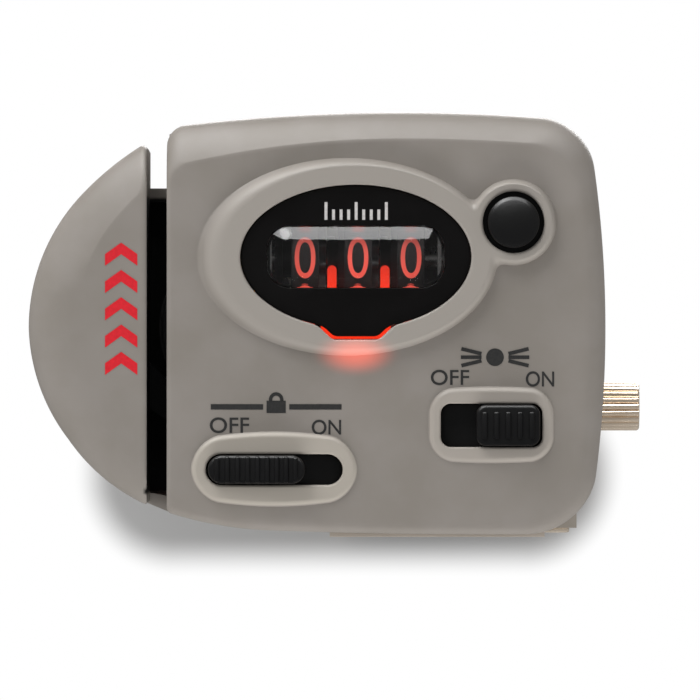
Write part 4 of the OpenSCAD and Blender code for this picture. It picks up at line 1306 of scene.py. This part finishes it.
@dataclass
class NumberWheels:
    """Three wheels with the figures 0 to 9 printed round each."""

    axis: Point = (-29.25, 19.55)
    radius: float = 9.75
    edge: float = 0.14
    middles: Point3 = (-2.46, -9.35, -16.24)
    tall: float = 5.45
    wide: float = 2.75
    narrow_one: float = 0.55
    ink: float = 0.04
    bold: float = -0.02
    bends: int = 8

    def on_rim(self, at: Vector) -> bool:
        """Tells whether a point lies on a wheel's rim."""
        return math.hypot(at.y - self.axis[0], at.z - self.axis[1]) > self.radius - 0.3

    def figure(self, name: str, value: int, x: float) -> Object:
        """One figure bent round a wheel.

        Args:
            name: name of the piece.
            value: what it says.
            x: middle of the wheel.

        Returns:
            The figure in its place.
        """
        wide = self.wide * (self.narrow_one if value == 1 else 1.0)
        piece = lettering(name, str(value), self.tall, wide, self.ink, self.bold)
        for i in range(1, self.bends):
            edit(piece)
            bpy.ops.mesh.bisect(plane_co=(0, 0, (i / self.bends - 0.5) * self.tall * MM), plane_no=(0, 0, 1))
        deselect()
        for vert in piece.data.vertices:
            turn = vert.co.z / MM / self.radius + value * math.pi / 5
            away = self.radius + PRINT_GAP - vert.co.y / MM
            vert.co = Vector((vert.co.x / MM + x, self.axis[0] - away * math.cos(turn),
                              self.axis[1] + away * math.sin(turn))) * MM
        return piece

    def build(self) -> None:
        """Models the wheels and their figures."""
        for node, body, x in zip(("units_wheel", "tens_wheel", "hundreds_wheel"),
                                 (Body.UNITS, Body.TENS, Body.HUNDREDS), self.middles):
            place(refined(node, node + "_drum", self.edge, self.on_rim), WHEEL_BLACK, body, node)
            name = node + "_figures"
            place(join(name, [self.figure(f"{name}_{i}", i, x) for i in range(10)]), FIGURE_INK, body)


@dataclass
class ResetButton:
    """Domed button in its collar, with the spring that returns it."""

    plan: Layout
    radius: float = 3.35
    crown: float = -42.5
    dome: float = 7.5
    edge: float = 0.3
    edge_drop: float = 0.1
    skirt: float = -37.6
    flange: float = -36.4
    flange_r: float = 4.7
    stem: float = -23.75
    stem_r: float = 1.3
    ear: float = -27.6
    travel: float = 1.5

    def spring(self) -> None:
        """Models the coil between the flange and the frame's ear, on the case, with a mesh of its own."""
        piece = refined("reset_spring", "reset_spring_coil", 0.08, segments=2)
        place(piece, STEEL, Body.CASE, "reset_spring")
        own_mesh(piece)

    def sag(self, r: float) -> float:
        """How far the dome has fallen at a radius."""
        return self.dome - math.sqrt(self.dome ** 2 - r * r)

    def build(self) -> None:
        """Models the button and its spring and sets them in the frame."""
        self.spring()
        flat = self.radius - self.edge
        profile = [(flat * i / 12, self.crown + self.sag(flat * i / 12)) for i in range(1, 13)]
        foot = self.crown + self.sag(flat) + self.edge_drop
        profile += [(self.radius - self.edge * back, foot + self.edge * drop) for back, drop in rounding(5)[1:]]
        profile += [(self.radius, self.skirt - 0.02), (self.flange_r, self.skirt), (self.flange_r, self.flange),
                    (self.stem_r, self.flange), (self.stem_r, self.stem)]
        piece = turned("reset_button_dome", self.plan.button, profile, 72)
        place(smooth(piece, 40), BUTTON_BLACK, Body.BUTTON, "reset_button")


@dataclass
class LockSlider:
    """Ribbed slider of the line lock with its strip and stem."""

    plan: Layout
    left: float = -28.85
    right: float = -16.25
    low: float = -41.0
    high: float = -42.2
    foot: float = -37.5
    half: float = 1.85
    soft: float = 0.45
    ribs: int = 9
    rib_start: float = 1.15
    rib_step: float = 1.36
    rib_closer: float = 0.024
    rib_half: float = 0.34
    rib_edge: float = 0.26
    rib_stop: float = 0.7
    rib_least: float = 0.3
    rib_short: float = 0.12
    rib_span: Point = (-0.3, 0.7)
    strip: Box = ((-31.15, -37.6, -2.4), (-9.85, -36.2, 2.4))
    stem: Box = ((-25.15, -36.4, -2.4), (-19.15, -14.35, 0.6))

    def crown(self, x: float) -> float:
        """Height of the grip's back at a place along it."""
        share = (x - self.left) / (self.right - self.left)
        return self.low + (self.high - self.low) * share ** 1.4

    def grip(self) -> Object:
        """Grip whose back slopes up to the right.

        Returns:
            The closed grip.
        """
        at = ((self.left + self.right) / 2, self.plan.lock[1])
        field = Panel(at, (self.right - self.left, 2 * self.half), self.half - 0.05)
        fan = Fan.of(field, at, 220)
        loops = [fan.loop(field, self.foot)]
        for up, inset in rounding(7):
            edge = fan.loop(grown(field, -self.soft * inset), 0)
            loops.append([(x, self.crown(x) + self.soft * up, z) for x, _, z in edge])
        piece = skin("slider_grip", loops)
        fill_edges(piece, lambda edge: edge.verts[0].co.y < self.plan.face * MM)
        fill_levels(piece, 1, self.foot)
        face_out(piece)
        return smooth(piece, 40)

    def rib(self, index: int) -> Object:
        """One rounded rib across the grip.

        Args:
            index: number of the rib from the left.

        Returns:
            The rib.
        """
        x = self.left + self.rib_start + sum(self.rib_step - self.rib_closer * i for i in range(index))
        x = min(x, self.right - self.rib_stop)
        past = abs(x - (self.left + self.right) / 2) - (self.right - self.left) / 2 + self.half
        reach_z = math.sqrt(max(self.half ** 2 - max(0, past) ** 2, self.rib_least)) - self.rib_short
        y, z, wide = self.crown(x), self.plan.lock[1], self.rib_half
        return block(f"slider_rib_{index}", (x - wide, y + self.rib_span[0], z - reach_z),
                     (x + wide, y + self.rib_span[1], z + reach_z), self.rib_edge)

    def build(self) -> None:
        """Models the slider and sets it in the frame."""
        parts = [self.grip(), *[self.rib(i) for i in range(self.ribs)]]
        for name, box, bevel in (("slider_strip", self.strip, 0.2), ("slider_stem", self.stem, 0.3)):
            parts.append(block(name, *[(x, y, z + self.plan.lock[1]) for x, y, z in box], bevel))
        place(smooth(join("lock_slider_grip", parts), 40), KNOB_BLACK, Body.LOCK, "lock_slider")


@dataclass
class SwitchKnob:
    """Ribbed knob of the light switch."""

    plan: Layout
    left: float = 6.0
    right: float = 14.3
    front: float = -41.5
    foot: float = -36.5
    half: float = 2.675
    corner: float = 1.3
    soft: float = 0.5
    ribs: int = 5
    rib_start: float = 1.1
    rib_step: float = 1.53
    rib_half: Point = (0.36, 1.75)
    rib_edge: float = 0.22
    base: Box = ((1.0, -37.6, -3.3), (18.9, -36.2, 3.3))

    def body(self) -> Object:
        """Knob with round corners and a soft front edge.

        Returns:
            The closed knob.
        """
        at = ((self.left + self.right) / 2, self.plan.switch[1])
        field = Panel(at, (self.right - self.left, 2 * self.half), self.corner)
        fan, top = Fan.of(field, at, 160), self.front + 0.25
        loops = [fan.loop(field, self.foot)]
        loops += [fan.loop(grown(field, -self.soft * inset), top + self.soft * up) for up, inset in rounding(7)]
        return closed("knob_body", loops)

    def build(self) -> None:
        """Models the knob and sets it in the frame."""
        middle, (wide, high) = self.plan.switch[1], self.rib_half
        parts = [self.body(), block("knob_base", *[(x, y, z + middle) for x, y, z in self.base], 0.15)]
        for i in range(self.ribs):
            x = self.left + self.rib_start + i * self.rib_step
            parts.append(block(f"knob_rib_{i}", (x - wide, self.front - 0.1, middle - high),
                               (x + wide, self.front + 0.8, middle + high), self.rib_edge))
        place(smooth(join("light_switch_knob", parts), 40), KNOB_BLACK, Body.LIGHT_KNOB, "switch_knob")


@dataclass
class Legends:
    """Prints on the face: plain switch words and pictures, and arrowheads on the nose."""

    plan: Layout
    bold: float = 0.03
    padlock_at: Point = (-20.0, 0.65)
    arch: Point = (0.95, 0.5)
    lamp_at: Point = (8.45, 6.6)
    lamp_r: float = 1.15
    ray_lean: float = 0.24
    ray_long: float = 2.7
    ray_half: float = 0.24
    arrows_at: Point = (-40.15, 4.3)
    arrow_count: int = 5
    arrow_step: float = 3.55
    arrow_half: Point = (2.1, 1.5)

    @property
    def level(self) -> float:
        """Y at which a print starts."""
        return self.plan.face - PRINT_GAP

    def words(self) -> None:
        """Prints ON and OFF beside the two switches."""
        for name, text, x, z, width, height in (
                ("lock_off_print", "OFF", -26.07, -2.24, 5.07, 2.0),
                ("lock_on_print", "ON", -13.46, -2.5, 3.77, 1.9),
                ("light_off_print", "OFF", 2.6, 3.97, 4.94, 1.95),
                ("light_on_print", "ON", 14.3, 3.77, 3.64, 1.95)):
            word = lettering(name, text, height, width, PRINT_T, self.bold)
            word.data.transform(Matrix.Translation(Vector((x, self.level, z)) * MM))
            place(word, DARK_INK, Body.CASE)

    def padlock(self) -> None:
        """Prints a closed padlock on a bold line, for the line lock."""
        (x, z), (wide, thin) = self.padlock_at, self.arch
        bow = np.linspace(0, math.pi, 15)
        arch = [(x + wide, z + 0.25), *[(x + wide * math.cos(a), z + 0.45 + wide * math.sin(a)) for a in bow],
                (x - wide, z + 0.25), (x - thin, z + 0.25),
                *[(x + thin * math.cos(a), z + 0.45 + thin * math.sin(a)) for a in bow[::-1]],
                (x + thin, z + 0.25)]
        parts = [bar("lock_case", (x - 1.25, z - 1.3), (x + 1.25, z + 0.3), self.level),
                 flat_shape("lock_arch", arch, self.level),
                 bar("line_0", (x - 8.5, z - 0.85), (x - 1.7, z - 0.15), self.level),
                 bar("line_2", (x + 1.7, z - 0.85), (x + 8.5, z - 0.15), self.level)]
        place(join("line_lock_picture", parts), DARK_INK, Body.CASE)

    def lamp(self) -> None:
        """Prints a round lamp with rays to both sides, for the light."""
        (x, z), r = self.lamp_at, self.lamp_r
        ball = [(x + r * math.cos(a), z + r * math.sin(a)) for a in np.linspace(0, FULL_TURN, 40)[:-1]]
        parts = [flat_shape("lamp_ball", ball, self.level)]
        for side in (-1, 1):
            for lean in (-self.ray_lean, 0.0, self.ray_lean):
                start = Vector((x + side * 1.75, z + lean * 1.9))
                along = Vector((side * math.cos(lean), math.sin(lean))) * self.ray_long
                across = Vector((-along.y, along.x)).normalized() * self.ray_half
                ends = [start - across, start + along - across, start + along + across, start + across]
                parts.append(flat_shape(f"ray_{side + 1}_{lean}", [tuple(p) for p in ends], self.level))
        place(join("light_picture", parts), DARK_INK, Body.CASE)

    def arrows(self) -> None:
        """Prints a row of plain arrowheads along the line's path on the nose."""
        (x, low), (wide, rise) = self.arrows_at, self.arrow_half
        parts = []
        for i in range(self.arrow_count):
            z = low + i * self.arrow_step
            outline = [(x - wide, z), (x, z + rise), (x + wide, z), (x + wide, z + rise), (x, z + 2 * rise),
                       (x - wide, z + rise)]
            parts.append(flat_shape(f"arrow_{i}", outline, self.level))
        place(join("line_arrows_print", parts), RED_INK, Body.CASE)

    def build(self) -> None:
        """Prints everything on the face."""
        for printed in (self.words, self.padlock, self.lamp, self.arrows):
            printed()


@dataclass
class ThumbScrew:
    """Knurled thumb screw of the clamp with its thread."""

    start: float = 8.7
    neck: float = 20.65
    radius: float = 3.2
    flutes: int = 20
    flute: float = 0.42
    shank: float = 2.0
    pitch: float = 1.0

    @staticmethod
    def ring(x: float, radii: np.ndarray, turns: np.ndarray) -> Loop:
        """Loop round the axis of the screw."""
        return [(x, r * math.cos(t), r * math.sin(t)) for r, t in zip(radii, turns)]

    def knob(self) -> Object:
        """Knob with round-bottomed flutes.

        Returns:
            The closed knob.
        """
        turns = np.linspace(0, FULL_TURN, 320, endpoint=False)
        wave = np.abs(np.cos(turns * self.flutes / 2)) ** 0.7
        full, flute = self.radius, self.flute
        sections = ((0, 2.1, 0), (0.15, 2.3, 0), (0.75, 2.75, 0.3), (0.95, full, flute), (3, full, flute),
                    (7.15, full, flute), (7.4, full - 0.12, 0.36), (7.5, full - 0.32, 0.2))
        loops = [self.ring(self.neck + x, np.minimum(full - depth * (1 - wave), cap), turns)
                 for x, cap, depth in sections]
        return closed("thumb_knob", loops, 0, (1, 0, 0))

    def thread(self) -> Object:
        """Threaded shank.

        Returns:
            The closed shank.
        """
        turns, loops = np.linspace(0, FULL_TURN, 40, endpoint=False), []
        for x in np.arange(self.start, self.neck + 0.3, 0.125):
            phase = (x / self.pitch - turns / FULL_TURN) % 1.0
            lead_in = min(1.0, (x - self.start) / 0.5 + 0.4)
            loops.append(self.ring(x, self.shank - 0.5 * np.abs(phase - 0.5) * lead_in, turns))
        return closed("screw_thread", loops, 0, (1, 0, 0))

    def build(self) -> None:
        """Models the screw and sets it in the frame."""
        piece = join("clamp_thumb_screw", [self.knob(), self.thread()])
        place(smooth(piece, 32), NICKEL, Body.SCREW, "clamp_screw")


@dataclass
class Worm:
    """Worm thread on the axle of the measuring wheel."""

    axis: Point = (-23.42, 10.45)
    first: float = -33.2
    last: float = -25.3
    mesh_y: float = -29.25
    core: float = 1.6
    crest: float = 2.3
    pitch: float = 1.0996

    def build(self) -> None:
        """Models the thread and sets it on the wheel's body."""
        (x, z), turns, loops = self.axis, np.linspace(0, FULL_TURN, 40, endpoint=False), []
        for y in np.arange(self.first, self.last + 0.01, 0.13):
            phase = ((y - self.mesh_y) / self.pitch + turns / FULL_TURN) % 1.0
            radii = self.core + (self.crest - self.core) * np.clip(1.6 - 5.2 * np.abs(phase - 0.5), 0, 1)
            loops.append([(x + r * math.sin(t), y, z + r * math.cos(t)) for r, t in zip(radii, turns)])
        place(smooth(closed("worm_thread", loops), 40), STEEL, Body.MEASURING)


@dataclass
class Screws:
    """Pan-head screws with a cross recess, in the back cover and in the bracket."""

    head: float = 1.9
    shank: float = 1.0
    thread_step: float = 0.4
    thread_deep: float = 0.16
    recess: Point = (1.15, 0.24)

    def screw(self, name: str, at: Point, top: float, length: float, tall: float) -> Object:
        """One screw whose head looks towards +Y.

        Args:
            name: name of the piece.
            at: x and z of its axis.
            top: y of the head's crown.
            length: length of the shank.
            tall: height of the head.

        Returns:
            The screw.
        """
        head, foot = self.head, top - tall
        profile = [(0.4, top), (1.2, top - 0.06), (head - 0.25, top - 0.2), (head - 0.06, top - 0.42),
                   (head, top - 0.62), (head, foot), (self.shank, foot)]
        turns = 2 * int(length / self.thread_step)
        profile += [(self.shank - self.thread_deep * (i % 2), foot - 0.1 - i * length / turns)
                    for i in range(turns)]
        profile.append((self.shank * 0.55, foot - length))
        piece = turned(name, at, profile, 28, (0, 1, 0))
        for wide, high in (self.recess, self.recess[::-1]):
            cut(piece, (at[0] - wide, top - 0.55, at[1] - high), (at[0] + wide, top + 0.4, at[1] + high))
        return smooth(piece, 40)

    def spots(self, node: str) -> list[Point]:
        """Axes of a node's screws, found from its separate solids.

        Args:
            node: node of the frame.

        Returns:
            X and z of each axis.
        """
        before = set(bpy.data.objects)
        pick(frame["nodes"][node])
        bpy.ops.object.duplicate()
        weld(bpy.context.active_object)
        bpy.ops.mesh.separate(type="LOOSE")
        deselect()
        found = set()
        for part in [o for o in bpy.data.objects if o not in before]:
            spots = np.array([v.co for v in part.data.vertices]) / MM
            middle = (spots.min(axis=0) + spots.max(axis=0)) / 2
            found.add((round(float(middle[0]), 2), round(float(middle[2]), 2)))
            bpy.data.objects.remove(part)
        LOG.info("%s at %s", node, sorted(found))
        return sorted(found)

    def build(self) -> None:
        """Models both sets and sets them in the frame."""
        for node, top, length, tall in (("cover_screws", -9.0, 13.0, 1.0), ("bracket_screws", -5.8, 4.8, 1.2)):
            made = [self.screw(f"{node}_{i}", at, top, length, tall) for i, at in enumerate(self.spots(node))]
            place(join(node + "_set", made), STEEL, Body.CASE, node)


@dataclass
class Clamp:
    """Bracket and jaw that hold the rod, with their rubber pads and the rivet."""

    frame_edge: float = 0.5
    jaw_edge: float = 0.35
    rod_pad_edge: float = 0.3
    jaw_pad_edge: float = 0.12
    rivet_edge: float = 0.25

    def build(self) -> None:
        """Models the pieces and sets them in the frame."""
        refit("clamp_bracket", "clamp_bracket_frame", self.frame_edge, CLAMP_GREY, Body.CASE)
        refit("clamp_jaw", "clamp_jaw_block", self.jaw_edge, CLAMP_GREY, Body.JAW)
        refit("rod_pad", "rod_pad_rubber", self.rod_pad_edge, RUBBER, Body.CASE)
        refit("jaw_pad", "jaw_pad_rubber", self.jaw_pad_edge, RUBBER, Body.JAW)
        refit("bracket_rivet", "bracket_rivet_head", self.rivet_edge, NICKEL, Body.CASE)


@dataclass
class Works:
    """Finishes of the inner pieces that keep the frame's own shape."""

    finishes: tuple[tuple[Finish, tuple[str, ...]], ...] = (
        (LIT_RED, ("light_guide", "led")), (BOARD, ("circuit_board",)),
        (STEEL, ("switch_body", "coin_cell", "counter_frame", "counter_shaft", "pinion_shaft", "lever_pin",
                 "roller_axle", "wheel_axle")),
        (BRASS, ("cell_contacts", "worm_wheel", "axle_bushes")),
        (KNOB_BLACK, ("cell_holder", "screw_clip", "roller_carriage")),
        (ACETAL, ("tens_pinion", "hundreds_pinion", "reset_lever", "measuring_wheel")),
        (RUBBER, ("pinch_roller", "wheel_tyre")))

    def dress(self) -> None:
        """Gives each carried-over node its finish."""
        for finish, nodes in self.finishes:
            for name in nodes:
                for slot in frame["nodes"][name].material_slots:
                    slot.material = finish.material()


@dataclass(frozen=True)
class Softbox:
    """A soft light aimed at the counter, in millimetres and watts."""

    name: str
    at: Point3
    size: Point
    watts: float
    glossy: bool = True
    diffuse: bool = True
    aim: Point3 = (-8.0, -25.0, 8.0)

    def build(self) -> None:
        """Adds the light to the scene."""
        lamp = bpy.data.lights.new(self.name, "AREA")
        lamp.shape = "RECTANGLE"
        lamp.size, lamp.size_y = self.size[0] * MM, self.size[1] * MM
        lamp.energy = self.watts
        piece = bpy.data.objects.new(self.name, lamp)
        bpy.context.scene.collection.objects.link(piece)
        piece.location = Vector(self.at) * MM
        piece.rotation_euler = (Vector(self.aim) - Vector(self.at)).to_track_quat("-Z", "Y").to_euler()
        piece.visible_camera = False
        piece.visible_glossy, piece.visible_diffuse = self.glossy, self.diffuse


@dataclass
class Studio:
    """White table that the counter lies on, soft lights and the camera above it."""

    table: float = 9.05
    target: Point3 = (-10.4, -39.5, 7.54)
    distance: float = 1500.0
    width: float = 91.0
    sensor: float = 36.0
    shade_low: Point = (-34.0, -9.5)
    shade_high: Point = (13.0, -9.0)
    shade_fade: Point = (7.8, 13.6)
    room_light: float = 0.40
    room_gloss: float = 0.2
    lights: tuple[Softbox, ...] = (
        Softbox("top_softbox", (-323, -235, 596), (520, 400), 4.4),
        Softbox("back_fill", (120, 560, 320), (500, 300), 3.0),
        Softbox("low_softbox", (0, -230, -660), (600, 300), 4.2, glossy=False),
        Softbox("left_softbox", (-660, -235, 148), (300, 400), 0.8, glossy=False),
        Softbox("right_softbox", (650, -250, 60), (300, 400), 1.2, glossy=False),
        Softbox("top_card", (-10, -265, 565), (700, 390), 6.0, diffuse=False))

    def table_top(self) -> bpy.types.Material:
        """Painted shade near the counter: a grey that darkens the real shadows there, plain white further off and
        clear from below.

        Returns:
            The table's material.
        """
        made = bpy.data.materials.new("White table top")
        made.use_nodes = True
        tree = made.node_tree
        shader = tree.nodes["Principled BSDF"]
        spot = add_node(tree, "TexCoord").outputs["Object"]
        mottle = add_node(tree, "TexNoise", {"Vector": spot, "Scale": 60.0, "Detail": 2.0})
        # The grey near the counter is painted shade; the mask below fades it to white.
        tints = {"Factor": mottle.outputs["Fac"], 6: linear("#b1b1b1"), 7: linear("#adadad")}
        colour = add_node(tree, "Mix", tints, data_type="RGBA").outputs[2]
        connect(tree, shader, {"Base Color": colour, "Roughness": 0.9, "Specular IOR Level": 0.0})
        near = Zone((self.shade_low[0], self.table - 1, self.shade_low[1]),
                    (self.shade_high[0], self.table + 1, self.shade_high[1]), "#ffffff")
        span = {"From Min": self.shade_fade[0] * MM, "From Max": self.shade_fade[1] * MM}
        share = add_node(tree, "MapRange", {"Value": near.away(tree), **span}, interpolation_type="SMOOTHSTEP")
        white = add_node(tree, "Emission", {"Color": (1, 1, 1, 1), "Strength": 1.0})
        faded = add_node(tree, "MixShader", {0: share.outputs[0], 1: shader.outputs[0], 2: white.outputs[0]})
        side = add_node(tree, "NewGeometry").outputs["Backfacing"]
        through = add_node(tree, "BsdfTransparent")
        shown = add_node(tree, "MixShader", {0: side, 1: faded.outputs[0], 2: through.outputs[0]})
        connect(tree, tree.nodes["Material Output"], {"Surface": shown.outputs[0]})
        return made

    def floor(self) -> None:
        """Adds the table top, whose shadow fades into the white background."""
        deselect()
        bpy.ops.mesh.primitive_grid_add(x_subdivisions=4, y_subdivisions=4, size=6)
        piece = named("studio_floor")
        for vert in piece.data.vertices:
            vert.co = (vert.co.x, self.table * MM, vert.co.y)
        piece.data.materials.append(self.table_top())
        face_out(piece)
        piece.visible_diffuse = piece.visible_glossy = piece.visible_shadow = False

    def world(self) -> None:
        """Sets a room that is white to the camera, dimmer as a light and dimmest in reflections."""
        made = bpy.data.worlds.new("White room")
        bpy.context.scene.world = made
        made.use_nodes = True
        tree = made.node_tree
        path = add_node(tree, "LightPath").outputs
        turns = add_node(tree, "Math", {0: path["Diffuse Depth"], 1: path["Glossy Depth"]}, operation="ADD")
        fresh = add_node(tree, "Math", {0: path["Is Transmission Ray"], 1: turns.outputs[0]}, operation="SUBTRACT")
        shown = add_node(tree, "Math", {0: path["Is Camera Ray"], 1: fresh.outputs[0]}, operation="MAXIMUM")
        light = add_node(tree, "MapRange", {"Value": path["Is Glossy Ray"], "To Min": self.room_light,
                                            "To Max": self.room_gloss})
        level = add_node(tree, "MapRange", {"Value": shown.outputs[0], "To Min": light.outputs[0], "To Max": 1.0})
        connect(tree, tree.nodes["Background"], {"Color": (1, 1, 1, 1), "Strength": level.outputs[0]})

    def camera(self) -> None:
        """Sets a long lens straight above the face."""
        lens = bpy.data.cameras.new("camera")
        lens.sensor_width = self.sensor
        lens.lens = self.sensor * self.distance / self.width
        lens.clip_start, lens.clip_end = 0.05, 20
        piece = bpy.data.objects.new("camera", lens)
        bpy.context.scene.collection.objects.link(piece)
        piece.location = (Vector(self.target) + Vector((0, -self.distance, 0))) * MM
        piece.rotation_euler = (math.pi / 2, 0, 0)
        bpy.context.scene.camera = piece

    def build(self) -> None:
        """Sets up the whole studio."""
        bpy.context.scene.view_settings.view_transform = "Standard"
        self.floor()
        self.world()
        for light in self.lights:
            light.build()
        self.camera()


def main() -> None:
    """Builds every piece in order."""
    logging.basicConfig(level=logging.INFO, format="%(name)s %(message)s")
    plan = Layout()
    for part in (FrontCover(plan), NoseCover(plan), BackCover(), DisplayPlate(plan), NumberWheels(),
                 ResetButton(plan), LockSlider(plan), SwitchKnob(plan), Legends(plan), ThumbScrew(),
                 Worm(), Screws(), Clamp()):
        part.build()
        LOG.info("built %s", type(part).__name__)
    Works().dress()
    Studio().build()


if __name__ == "__main__":
    main()
